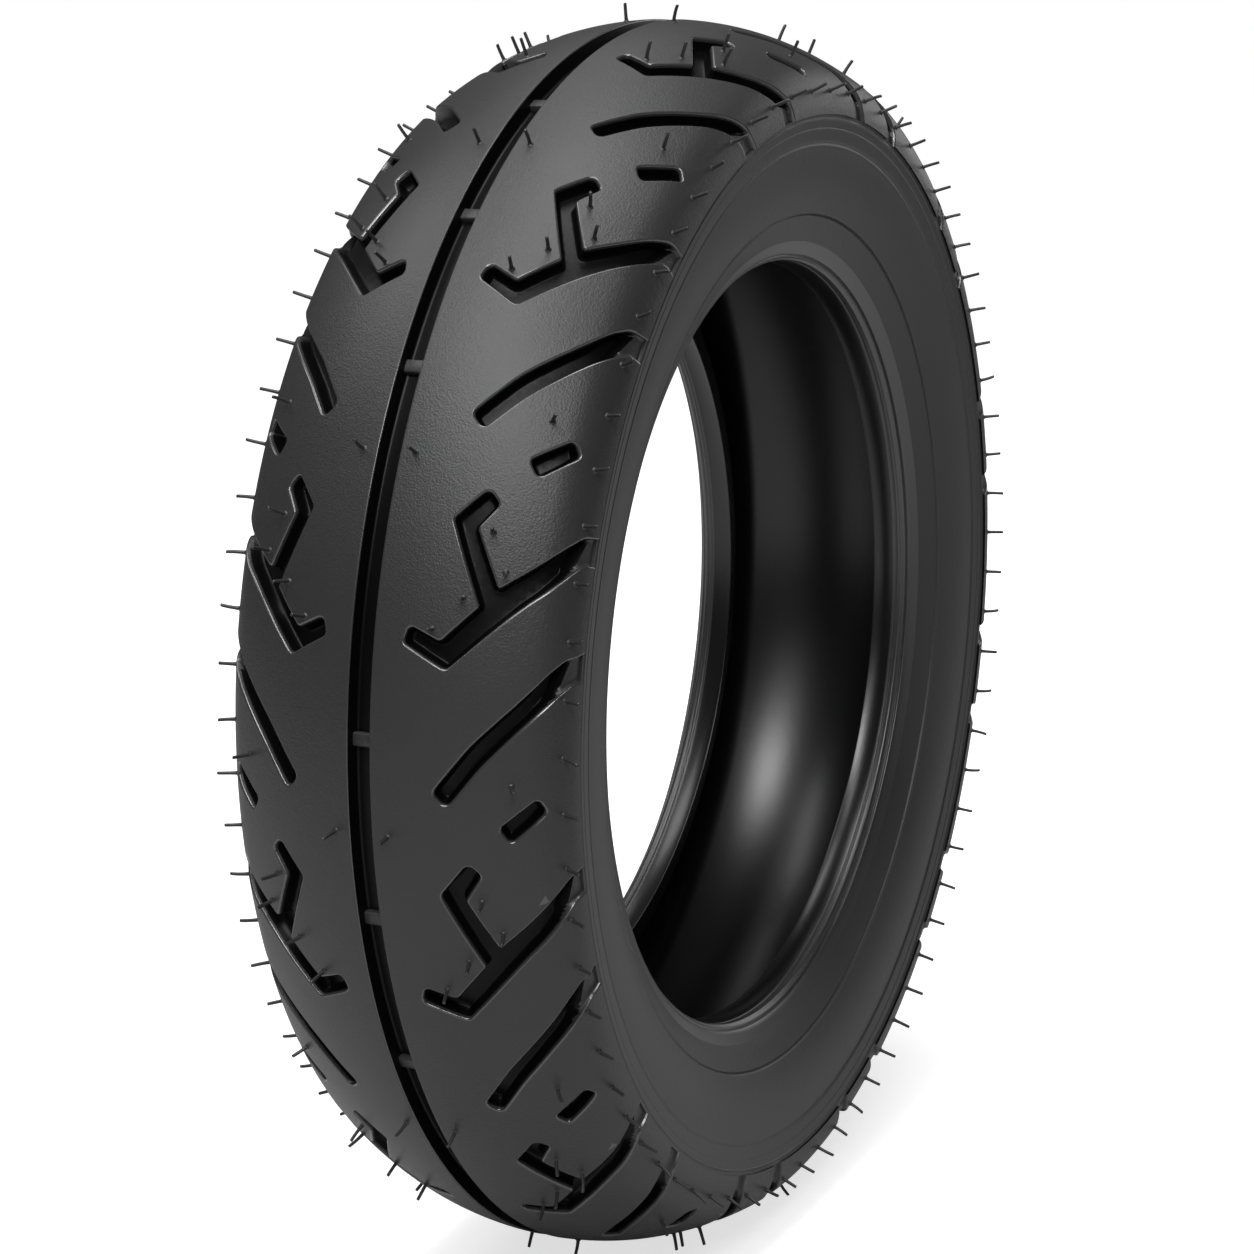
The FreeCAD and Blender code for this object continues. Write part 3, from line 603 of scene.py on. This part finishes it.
def pitch_sheet():
    """One pitch of half the tread: face, groove walls and floors, and its edge towards the sidewall. It also
    gives the steps round the crown along the centre groove and along that edge."""
    sheet = Sheet()
    half_pitch = PITCH * TREAD_RADIUS / 2
    inner = CENTRE_GROOVE_HALF + LIP_REACH
    columns = round(2 * half_pitch / GRID_ROUND)
    rows = round((half_length - inner) / GRID_ACROSS)
    round_steps = [-half_pitch + 2 * half_pitch * k / columns for k in range(columns + 1)]
    across_steps = [inner + (half_length - inner) * k / rows for k in range(rows + 1)]

    grooves = []
    for kind, corners in GROOVES.items():
        way_out = Exit(kind)
        rings, closed = groove_rings(corners, way_out)
        grooves.append((rings, closed, way_out))
    outlines = [(rings[0][0], closed) for rings, closed, _ in grooves]

    grid = np.array([(x, y) for x in round_steps for y in across_steps])
    keep = np.ones(len(grid), bool)
    for line, closed in outlines:
        keep &= ~inside(grid, line)
        keep &= distance_to(grid, line, closed) > FACE_CLEARANCE
    kept = [tuple(p) for p in grid[keep]]
    frame_corners = [(-half_pitch, inner), (half_pitch, inner), (half_pitch, half_length),
                     (-half_pitch, half_length)]
    places, triangles = triangulated([(frame_corners, True)] + outlines, kept)
    middles = np.array([places[list(face)].mean(axis=0) for face in triangles])
    in_groove = np.zeros(len(middles), bool)
    for line, closed in outlines:
        in_groove |= inside(middles, line)
    top = [face for face, hidden in zip(triangles, in_groove) if not hidden]
    sheet.add([(x, y, 0.0) for x, y in places], top)

    edge = {round(x, 7): 0.0 for (x, y) in places if abs(y - half_length) < SAME_PLACE}
    for rings, closed, way_out in grooves:
        for upper, lower in zip(rings, rings[1:]):
            strip(sheet, way_out.lowered(*upper), way_out.lowered(*lower), closed)
        floor_line, floor_depth = rings[-1]
        fine_steps = np.arange(-half_pitch, half_pitch, CREASE_STEP)
        creases = [point for x in fine_steps for point in way_out.creases(x)]
        floor_grid = np.vstack((grid, creases))
        floor_grid = floor_grid[inside(floor_grid, floor_line)]
        if len(floor_grid):
            floor_grid = floor_grid[distance_to(floor_grid, floor_line, closed) > BASE_CLEARANCE]
            floor_grid = floor_grid[floor_grid[:, 1] < half_length - SAME_PLACE]
        floor_places, floor_triangles = triangulated([(floor_line, True)], [tuple(p) for p in floor_grid])
        centres = np.array([floor_places[list(face)].mean(axis=0) for face in floor_triangles])
        wanted = inside(centres, floor_line)
        floor_faces = [face for face, good in zip(floor_triangles, wanted) if good]
        sheet.add(way_out.lowered(floor_places, floor_depth), floor_faces)
        if not closed:
            ends = sorted((rings[0][0][0][0], rings[0][0][-1][0]))
            edge = {x: depth for x, depth in edge.items()
                    if not ends[0] + SAME_PLACE < x < ends[1] - SAME_PLACE}
            for line, depth in rings:
                edge[round(line[0][0], 7)] = depth * EXIT_SHARE
                edge[round(line[-1][0], 7)] = depth * EXIT_SHARE
    edge_line = sorted(edge.items())
    lip_depth = GROOVE_DEPTH + LIP_MARGIN
    strip(sheet, [(x, half_length, depth) for x, depth in edge_line],
          [(x, half_length, lip_depth) for x, _ in edge_line], False)
    return sheet, round_steps, [x for x, _ in edge_line]


def place_on_tread(points, side):
    """Where (round, across, depth) points of a pitch lie in space."""
    placed = np.empty((len(points), 3))
    for k, (around_crown, across, depth) in enumerate(points):
        axial, radial, slope = face_point(across)
        axial -= depth * math.sin(slope)
        radial -= depth * math.cos(slope)
        placed[k] = around(side * axial, radial, around_crown / TREAD_RADIUS)
    return placed


# Section of the centre groove from its edge to its middle: (distance from the middle, depth) in millimetres.
CENTRE_GROOVE = [(5.2, 0.0), (4.75, 0.0), (4.5, 0.06), (4.32, 0.22), (4.25, 0.5), (4.1, 4.9), (3.95, 5.5),
                 (3.5, 5.9), (2.8, 6.0), (0.0, 6.0)]


def quads(rows, width, flipped=False):
    """Faces over this many rows of points, each row as wide as the next."""
    faces = []
    for row in range(rows - 1):
        for column in range(width - 1):
            a = row * width + column
            ahead = a + width
            faces.append((a, ahead, ahead + 1, a + 1) if flipped else (a, a + 1, ahead + 1, ahead))
    return faces


def groove_band(round_steps):
    """One pitch of the centre groove, from its left edge to its right edge, as points and faces."""
    profile = [(distance * MM, depth * MM) for distance, depth in CENTRE_GROOVE]
    profile += [(-distance, depth) for distance, depth in reversed(profile[:-1])]
    points = [(around_crown, across, depth) for around_crown in round_steps for across, depth in profile]
    return points, quads(len(round_steps), len(profile))


def underside(edge_steps):
    """One pitch of the hidden face where the cap lies on the tread base, from lip to lip."""
    half = arc(CROWN, crown_radius - CAP_THICKNESS, 0.0, base_edge_angle, 0.12) + [tread_lip]
    section = [(-axial, radial) for axial, radial in reversed(half[1:])] + half
    points = [around(axial, radial, step / TREAD_RADIUS) for step in edge_steps for axial, radial in section]
    return np.array(points), quads(len(edge_steps), len(section), flipped=True)


def turned(points, angle):
    """Points turned round the axle, in the sense that angles round the tyre are counted."""
    x, y, z = points[:, 0], points[:, 1], points[:, 2]
    c, s = math.cos(angle), math.sin(angle)
    return np.column_stack((x * c + z * s, y, -x * s + z * c))


def with_varied_pitch(points):
    """The points moved round the axle to their places in the varied pitches."""
    angle = np.arctan2(points[:, 2], -points[:, 0])
    radial = np.hypot(points[:, 0], points[:, 2])
    angle = angle + PITCH_VARIATION * np.sin(angle - TREAD_PHASE)
    return np.column_stack((-radial * np.cos(angle), points[:, 1], radial * np.sin(angle)))


def depth_under_face(points):
    """How deep each point of the cap lies under the tread's face."""
    axial, radial = np.abs(points[:, 1]), np.hypot(points[:, 0], points[:, 2])
    crown_depth = crown_radius - np.hypot(axial, radial - crown_centre)
    shoulder_depth = SHOULDER_RADIUS - np.hypot(axial - shoulder_axial, radial - shoulder_radial)
    return np.where(axial < crown_radius * math.sin(shoulder_angle), crown_depth, shoulder_depth)


def build_tread():
    """The whole grooved cap as one closed mesh: twelve pitches of two mirrored halves."""
    sheet, round_steps, edge_steps = pitch_sheet()
    parts = []
    for side in (1, -1):
        placed = place_on_tread(sheet.points, side)
        faces = sheet.faces if side == 1 else [face[::-1] for face in sheet.faces]
        parts.append((placed, faces))
    band_points, band_faces = groove_band(round_steps)
    band = [place_on_tread([(around_crown, abs(across), depth)], 1 if across >= 0 else -1)
            for around_crown, across, depth in band_points]
    parts.append((np.vstack(band), band_faces))
    parts.append(underside(edge_steps))
    pitch_points = np.vstack([points for points, _ in parts])
    pitch_faces = []
    first = 0
    for points, faces in parts:
        pitch_faces += [tuple(first + k for k in face) for face in faces]
        first += len(points)
    all_points, all_faces = [], []
    for pitch in range(PITCH_COUNT):
        all_points.append(turned(pitch_points, TREAD_PHASE + pitch * PITCH))
        offset = pitch * len(pitch_points)
        all_faces += [tuple(offset + k for k in face) for face in pitch_faces]
    points = with_varied_pitch(np.vstack(all_points))
    tread = new_piece("tread", points, all_faces, tread_rubber, SOFT_EDGE, patches=True)
    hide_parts("tread_cap")
    tread.data.materials.append(groove_painted_shade)
    tread.data.materials.append(lip_gloss_and_highlight)
    centres = np.empty(3 * len(tread.data.polygons))
    tread.data.polygons.foreach_get("center", centres)
    depth = depth_under_face(centres.reshape(-1, 3))
    # Faces deep in the grooves take the near-black rubber as painted shade.
    shade_and_highlight_index = np.where(depth > GROOVE_DEPTH * EXIT_SHARE + PAINTED_SHADE_MARGIN, 1, 0)
    # The lips take the glossier rubber, whose lighter colour is a painted highlight.
    shade_and_highlight_index[(depth > LIP_DEPTHS[0]) & (depth < LIP_DEPTHS[1])] = 2
    tread.data.polygons.foreach_set("material_index", shade_and_highlight_index.astype(np.int32))
    tread.modifiers.new("even_normals", "WEIGHTED_NORMAL").keep_sharp = True


build_tread()


# ---------------------------------------- sidewalls, chafers and liner
# Stations along the outer face are counted in millimetres up the wall from its foot, and below zero down
# the chafer. Fine rings are moulded on it, as (station, width, height). A height below zero is a groove.
FINE_RINGS = [
    (-11.2, 0.8, -0.25), (-9.0, 2.6, 0.45), (-6.5, 1.5, -0.80), (11.2, 1.3, -0.75), (12.2, 0.9, 0.20),
    (39.6, 2.2, -0.42), (45.2, 0.8, 0.16), (48.9, 1.3, 0.40),
]
# The face swells between the heel and the outer ring, by this height at most over its full stretch.
SWELL_HEIGHT = 1.7
SWELL_START = -12.3
SWELL_FULL = (7.0, 16.0)
SWELL_END = 38.0


def swell(station):
    """How far the face stands out at a station, apart from its fine rings, in millimetres."""
    if station < SWELL_FULL[0]:
        fall = (SWELL_FULL[0] - station) / (SWELL_FULL[0] - SWELL_START)
    else:
        fall = max(0.0, station - SWELL_FULL[1]) / (SWELL_END - SWELL_FULL[1])
    return SWELL_HEIGHT * max(0.0, 1 - fall ** 2)


def relief(station):
    """How far the face is raised at this distance along it."""
    place = station / MM
    raised = swell(place)
    for middle, width, height in FINE_RINGS:
        reach = abs(place - middle) / (width / 2)
        if reach < 1:
            raised += height * 0.5 * (1 + math.cos(math.pi * reach))
    return raised * MM


def stations_between(first, last, count):
    """Distances along a face: an even spread and a close set over each fine ring."""
    stations = set(np.linspace(first, last, count).tolist())
    for middle, width, _ in FINE_RINGS:
        stations.update((middle + width * k / 8) * MM for k in range(-4, 5))
    return sorted(station for station in stations if first <= station <= last)


def wall_outer():
    """The sidewall's outer face from its foot up to the tread, with its fine rings."""
    rise = (wall_top[0] - wall_foot[0], wall_top[1] - wall_foot[1])
    chord = math.hypot(*rise)
    depth = math.sqrt(SIDEWALL_BULGE_RADIUS ** 2 - (chord / 2) ** 2)
    centre = ((wall_foot[0] + wall_top[0]) / 2 - depth * rise[1] / chord,
              (wall_foot[1] + wall_top[1]) / 2 + depth * rise[0] / chord)
    first = math.atan2(wall_foot[0] - centre[0], wall_foot[1] - centre[1])
    last = math.atan2(wall_top[0] - centre[0], wall_top[1] - centre[1])
    length = SIDEWALL_BULGE_RADIUS * (first - last)
    return [polar(centre, SIDEWALL_BULGE_RADIUS + relief(station), first - station / SIDEWALL_BULGE_RADIUS)
            for station in stations_between(0.0, length, 60)]


def heel_outer():
    """The chafer's outer face from the bead seat round the heel to the sidewall's foot."""
    curved = bead_reach * (math.pi - TURNUP_ANGLE)
    length = curved + CHAFER_HEIGHT
    points = []
    for station in stations_between(-length, 0.0, 40):
        distance = station + length
        angle = max(TURNUP_ANGLE, math.pi - distance / bead_reach)
        spot = polar(BEAD, bead_reach + relief(station), angle)
        points.append(along(spot, TURNUP_ANGLE, max(0.0, distance - curved)))
    return points


def build_sidewall(word, side):
    """The sidewall's rubber, from the tread's lip to the chafer, closed along the casing inside."""
    inner = [tread_lip, polar(CROWN, crown_radius - CAP_THICKNESS, base_edge_angle)]
    inner += [polar(CROWN, casing_crown_radius, base_edge_angle)]
    inner += arc(CASING, casing_shoulder_radius, casing_shoulder_angle, flank_angle, 0.1)
    turnup = polar(BEAD, wrapped_radius, TURNUP_ANGLE)
    inner += [along(turnup, TURNUP_ANGLE, TURNUP_HEIGHT), along(turnup, TURNUP_ANGLE, CHAFER_HEIGHT)]
    piece = lathe("sidewall_" + word + "_face", wall_outer() + inner, side_rubber, side)
    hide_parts("sidewall_" + word)


# The toe's rounded tip, as (axial, radial) steps in millimetres from where it begins.
TOE_TIP = [(0, 0), (0.25, -0.12), (0.6, -0.05)]


def build_chafer(word, side):
    """The strip round the bead: bead toe, seat, rounded heel and the face against the rim's flange."""
    toe = (BEAD_CENTRE_AXIAL - bead_reach - TOE_REACH, BEAD_SEAT_RADIUS - TOE_DROP)
    profile = [polar(BEAD, wrapped_radius, flank_angle + math.pi)]
    profile += [polar(BEAD, wrapped_radius + LINER_THICKNESS, flank_angle + math.pi)]
    profile += [(toe[0] + step * MM, toe[1] + rise * MM) for step, rise in TOE_TIP]
    profile += [(toe[0] + TOE_BEVEL, BEAD_SEAT_RADIUS)]
    profile += heel_outer()
    profile += [along(polar(BEAD, wrapped_radius, TURNUP_ANGLE), TURNUP_ANGLE, CHAFER_HEIGHT)]
    profile += arc(BEAD, wrapped_radius, TURNUP_ANGLE, flank_angle + math.pi, 0.1)[:-1]
    piece = lathe("chafer_" + word + "_face", profile, chafer_rubber, side)
    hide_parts("chafer_" + word)
    # The bead seat and toe take the liner's near-black rubber as painted shade.
    piece.data.materials.append(liner_rubber)
    for face in piece.data.polygons:
        face.material_index = 1 if abs(face.center.y) < BEAD_CENTRE_AXIAL else 0


def liner_half(offset):
    """Half of one face of the liner, from the crown to its foot above the bead."""
    points = arc(CROWN, casing_crown_radius - offset, 0.0, casing_shoulder_angle, 0.04)
    points += arc(CASING, casing_shoulder_radius - offset, casing_shoulder_angle, flank_angle, 0.05)[1:]
    points += [polar(BEAD, BEAD_CORE_RADIUS + offset, flank_angle + math.pi)]
    return points


def build_liner():
    """The airtight lining that shows through the wheel's hole."""
    outer = liner_half(WRAP_THICKNESS)
    inner = liner_half(WRAP_THICKNESS + LINER_THICKNESS)
    profile = [(-axial, radial) for axial, radial in reversed(outer[1:])] + outer
    profile += list(reversed(inner)) + [(-axial, radial) for axial, radial in inner[1:]]
    piece = lathe("liner_face", profile, liner_rubber)
    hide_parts("inner_liner")


build_liner()
for word, side in (("left", 1), ("right", -1)):
    build_sidewall(word, side)
    build_chafer(word, side)


# ---------------------------------------- wear bars and vent spews
WEAR_BAR_ANGLES = [-6.6 + 30 * k for k in range(12)] + [-21.7 + 60 * k for k in range(6)]
WEAR_BAR_LENGTH = 5 * MM
WEAR_BAR_HEIGHT = 2.4 * MM
WEAR_BAR_INSET = 0.2 * MM    # how far a bar's ends reach into the groove's walls
# One flank of a bar, as (share of its length from the middle, share of its height).
WEAR_BAR_FLANK = [(-0.5, -0.6), (-0.5, 0.72), (-0.46, 0.92), (-0.38, 1.0)]


def build_wear_bars():
    """Low bars across the floor of the centre groove, with rounded tops."""
    points, faces = [], []
    floor = TREAD_RADIUS - GROOVE_DEPTH
    half_across = CENTRE_GROOVE_HALF + WEAR_BAR_INSET
    section = WEAR_BAR_FLANK + [(-along_share, height_share)
                                for along_share, height_share in reversed(WEAR_BAR_FLANK)]
    for angle in WEAR_BAR_ANGLES:
        first = len(points)
        middle = varied(math.radians(angle) + TREAD_PHASE)
        for end in (-1, 1):
            for along_share, height_share in section:
                turn = middle + along_share * WEAR_BAR_LENGTH / TREAD_RADIUS
                points.append(around(end * half_across, floor + height_share * WEAR_BAR_HEIGHT, turn))
        count = len(section)
        for k in range(count):
            following = (k + 1) % count
            faces.append((first + k, first + following, first + count + following, first + count + k))
        faces.append(tuple(range(first + count - 1, first - 1, -1)))
        faces.append(tuple(range(first + count, first + 2 * count)))
    new_piece("wear_bars", points, faces, tread_rubber)


build_wear_bars()

# Vent spews of one pitch, as (angle from the middle of the pitch in degrees, axial in millimetres).
SHOULDER_AXIAL = HALF_WIDTH / MM - 1.9
SPEWS = {
    "blocks": [(10.6, 40.2), (7.6, 45.6), (5.2, 33.5), (2.6, 24.5), (-9.6, 51.0)],
    "crown": [(-14.0, 10.0)],
    "shoulder": [(5.0 * step - 7.5, SHOULDER_AXIAL) for step in range(5)],
    "pitch_ends": [(-12.5, SHOULDER_AXIAL)],
}
SPEW_RADIUS = 0.66 * MM
SPEW_LENGTH = 7.5 * MM
SPEW_SHORTEST = 0.84        # the shortest spews' share of the full length
SPEW_BEND = 1.1 * MM        # how far the most bent tips lean
SPEW_SIDES = 10
TIP_CLEARANCE = 0.3 * MM    # spews whose tips come nearer to the floor are left out
# Rings of a spew from below its foot to its blunt tip: (share of its length, share of its radius).
SPEW_RINGS = [(-0.04, 1.9), (0.0, 1.9), (0.03, 1.6), (0.06, 1.12), (0.3, 1.0), (0.6, 0.97), (0.85, 0.95),
              (0.97, 0.92), (1.0, 0.6)]


def hair(generator, angle, axial, side):
    """One vent spew, a thin cylinder of rubber with a collar at its foot, bent a little, and where its tip
    would be if it were straight and of full length."""
    _, radial, slope = face_point(face_distance(axial))
    foot = Vector(around(side * axial, radial, angle))
    outward = Vector(around(side * math.sin(slope), math.cos(slope), angle))
    across = outward.cross(Vector((0, 1, 0))).normalized()
    up = outward.cross(across)
    heading = generator.uniform(0, 2 * math.pi)
    lean = across * math.cos(heading) + up * math.sin(heading)
    bend = generator.uniform(0.0, SPEW_BEND)
    length = SPEW_LENGTH * generator.uniform(SPEW_SHORTEST, 1.0)
    points = []
    for share, width in SPEW_RINGS:
        centre = foot + outward * (share * length) + lean * bend * share ** 2
        for k in range(SPEW_SIDES):
            turn = 2 * math.pi * k / SPEW_SIDES
            points.append(centre + SPEW_RADIUS * width * (across * math.cos(turn) + up * math.sin(turn)))
    faces = []
    for ring in range(len(SPEW_RINGS) - 1):
        for k in range(SPEW_SIDES):
            a = ring * SPEW_SIDES + k
            b = ring * SPEW_SIDES + (k + 1) % SPEW_SIDES
            faces.append((a, b, b + SPEW_SIDES, a + SPEW_SIDES))
    faces.append(tuple(range(SPEW_SIDES - 1, -1, -1)))
    last = (len(SPEW_RINGS) - 1) * SPEW_SIDES
    faces.append(tuple(range(last, last + SPEW_SIDES)))
    return points, faces, foot + outward * SPEW_LENGTH


def build_spews(kind, word, side, generator):
    """A group of vent spews, apart from those that the floor would flatten."""
    points, faces = [], []
    for pitch in range(PITCH_COUNT):
        for angle, axial in SPEWS[kind]:
            turn = varied(math.radians(angle) + TREAD_PHASE + pitch * PITCH)
            hair_points, hair_faces, tip = hair(generator, turn, axial * MM, side)
            if tip.z > TIP_CLEARANCE - TREAD_RADIUS:
                first = len(points)
                points += hair_points
                faces += [tuple(first + k for k in face) for face in hair_faces]
    piece = new_piece("spews_" + kind + "_" + word, points, faces, spew_rubber, SOFT_EDGE)
    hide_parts("vent_spews_" + kind + "_" + word)


hair_generator = np.random.default_rng(7)
for word, side in (("left", 1), ("right", -1)):
    for kind in SPEWS:
        build_spews(kind, word, side, hair_generator)


# ---------------------------------------- floor, lights and camera
FLOOR_COLOUR = (0.60, 0.60, 0.60, 1)
# The floor glows for the camera by this much under the tyre, and fully from the outer radius on.
FLOOR_GLOW = 0.70
GLOW_INNER = 0.30
GLOW_OUTER = 0.62
FLOOR_SEGMENTS = 96
FLOOR_RINGS = [0.4, 1.0, 3.0, 9.0]
WORLD_LEVEL = 0.08


def floor_material():
    """A pale floor that looks white behind the object and still takes its shadow close by."""
    material = bpy.data.materials.new("floor_white")
    material.use_nodes = True
    nodes, links = material.node_tree.nodes, material.node_tree.links
    nodes.clear()
    output = nodes.new("ShaderNodeOutputMaterial")
    diffuse = nodes.new("ShaderNodeBsdfDiffuse")
    diffuse.inputs["Color"].default_value = FLOOR_COLOUR
    place = nodes.new("ShaderNodeTexCoord").outputs["Object"]
    glow = nodes.new("ShaderNodeMapRange")
    glow.interpolation_type = "SMOOTHSTEP"
    glow.inputs["From Min"].default_value = GLOW_INNER
    glow.inputs["From Max"].default_value = GLOW_OUTER
    glow.inputs["To Min"].default_value = FLOOR_GLOW
    glow.inputs["To Max"].default_value = 1.0
    links.new(distance_node(nodes, links, place, (1, 1, 0)), glow.inputs["Value"])
    path = nodes.new("ShaderNodeLightPath")
    level = nodes.new("ShaderNodeMath")
    level.operation = "MULTIPLY"
    links.new(path.outputs["Is Camera Ray"], level.inputs[0])
    links.new(glow.outputs["Result"], level.inputs[1])
    light = nodes.new("ShaderNodeEmission")
    links.new(level.outputs[0], light.inputs["Strength"])
    both = nodes.new("ShaderNodeAddShader")
    links.new(diffuse.outputs[0], both.inputs[0])
    links.new(light.outputs[0], both.inputs[1])
    links.new(both.outputs[0], output.inputs["Surface"])
    return material


def build_floor():
    """A wide round floor under the tyre."""
    floor_level = -TREAD_RADIUS
    points = [(0, 0, floor_level)]
    faces = []
    for radius in FLOOR_RINGS:
        for k in range(FLOOR_SEGMENTS):
            turn = 2 * math.pi * k / FLOOR_SEGMENTS
            points.append((radius * math.cos(turn), radius * math.sin(turn), floor_level))
    for k in range(FLOOR_SEGMENTS):
        following = (k + 1) % FLOOR_SEGMENTS
        faces.append((0, 1 + k, 1 + following))
        for ring in range(len(FLOOR_RINGS) - 1):
            a, b = 1 + ring * FLOOR_SEGMENTS + k, 1 + ring * FLOOR_SEGMENTS + following
            faces.append((a, a + FLOOR_SEGMENTS, b + FLOOR_SEGMENTS, b))
    mesh = bpy.data.meshes.new("floor")
    mesh.from_pydata(points, [], faces)
    mesh.materials.append(floor_material())
    floor = bpy.data.objects.new("floor", mesh)
    bpy.context.scene.collection.objects.link(floor)


def build_world():
    """Even studio light, with a white background where the camera sees it."""
    world = bpy.data.worlds.new("studio")
    bpy.context.scene.world = world
    world.use_nodes = True
    nodes, links = world.node_tree.nodes, world.node_tree.links
    nodes.clear()
    output = nodes.new("ShaderNodeOutputWorld")
    backdrop = nodes.new("ShaderNodeBackground")
    backdrop.inputs["Color"].default_value = (1, 1, 1, 1)
    path = nodes.new("ShaderNodeLightPath")
    seen = nodes.new("ShaderNodeMath")
    seen.operation = "ADD"
    links.new(path.outputs["Is Camera Ray"], seen.inputs[0])
    links.new(path.outputs["Is Transmission Ray"], seen.inputs[1])
    level = nodes.new("ShaderNodeMapRange")
    level.inputs["To Min"].default_value = WORLD_LEVEL
    level.inputs["To Max"].default_value = 1.0
    links.new(seen.outputs[0], level.inputs["Value"])
    links.new(level.outputs["Result"], backdrop.inputs["Strength"])
    links.new(backdrop.outputs[0], output.inputs["Surface"])


LAMP_DISTANCE = 2.2
# Softboxes: name, direction it shines from (degrees round from the -Y side towards +X, and up), the
# length of its sides, and its power in watts.
SOFTBOXES = [
    ("key", -60, 40, 0.6, 16),
    ("top", 0, 88, 1.0, 21),
    ("sky", -92, 56, 0.9, 24),
    ("left", -70, 30, 0.9, 4.5),
    ("rear", -168, 52, 1.0, 12),
    ("front_right", 76, 15, 1.0, 5.5),
    ("rear_right", 120, 55, 1.0, 4),
]


def build_lights():
    """The softboxes, each facing the wheel's centre."""
    for name, azimuth, elevation, width, power in SOFTBOXES:
        light = bpy.data.lights.new(name, "AREA")
        light.shape = "RECTANGLE"
        light.size = width
        light.size_y = width
        light.energy = power
        lamp = bpy.data.objects.new(name, light)
        turn, lift = math.radians(azimuth), math.radians(elevation)
        level = math.cos(lift)
        direction = Vector((math.sin(turn) * level, -math.cos(turn) * level, math.sin(lift)))
        lamp.rotation_euler = (-direction).to_track_quat("-Z", "Y").to_euler()
        lamp.location = direction * LAMP_DISTANCE
        bpy.context.scene.collection.objects.link(lamp)


# The camera's viewing angle, its distance from the wheel's centre and how it is framed.
CAMERA_AZIMUTH = math.radians(-65.03)
CAMERA_ELEVATION = math.radians(13.13)
CAMERA_DISTANCE = 1.2738
CAMERA_ASIDE = -0.0069
CAMERA_RAISED = -0.00965
CAMERA_LENS = 90.46
CAMERA_SHIFT = (-0.01316, 0.0241)


def build_camera():
    """The camera, square to its viewing direction and framed by its shift."""
    back = Vector((math.sin(CAMERA_AZIMUTH) * math.cos(CAMERA_ELEVATION),
                   -math.cos(CAMERA_AZIMUTH) * math.cos(CAMERA_ELEVATION), math.sin(CAMERA_ELEVATION)))
    right = Vector((math.cos(CAMERA_AZIMUTH), math.sin(CAMERA_AZIMUTH), 0))
    up = back.cross(right)
    data = bpy.data.cameras.new("camera")
    data.sensor_width = 36
    data.lens = CAMERA_LENS
    data.shift_x, data.shift_y = CAMERA_SHIFT
    data.clip_end = 50
    camera = bpy.data.objects.new("camera", data)
    turn = Matrix((right, up, back)).transposed().to_4x4()
    place = back * CAMERA_DISTANCE + right * CAMERA_ASIDE + up * CAMERA_RAISED
    camera.matrix_world = Matrix.Translation(place) @ turn
    bpy.context.scene.collection.objects.link(camera)
    bpy.context.scene.camera = camera


build_floor()
build_world()
build_lights()
build_camera()
bpy.context.scene.view_settings.view_transform = "Standard"
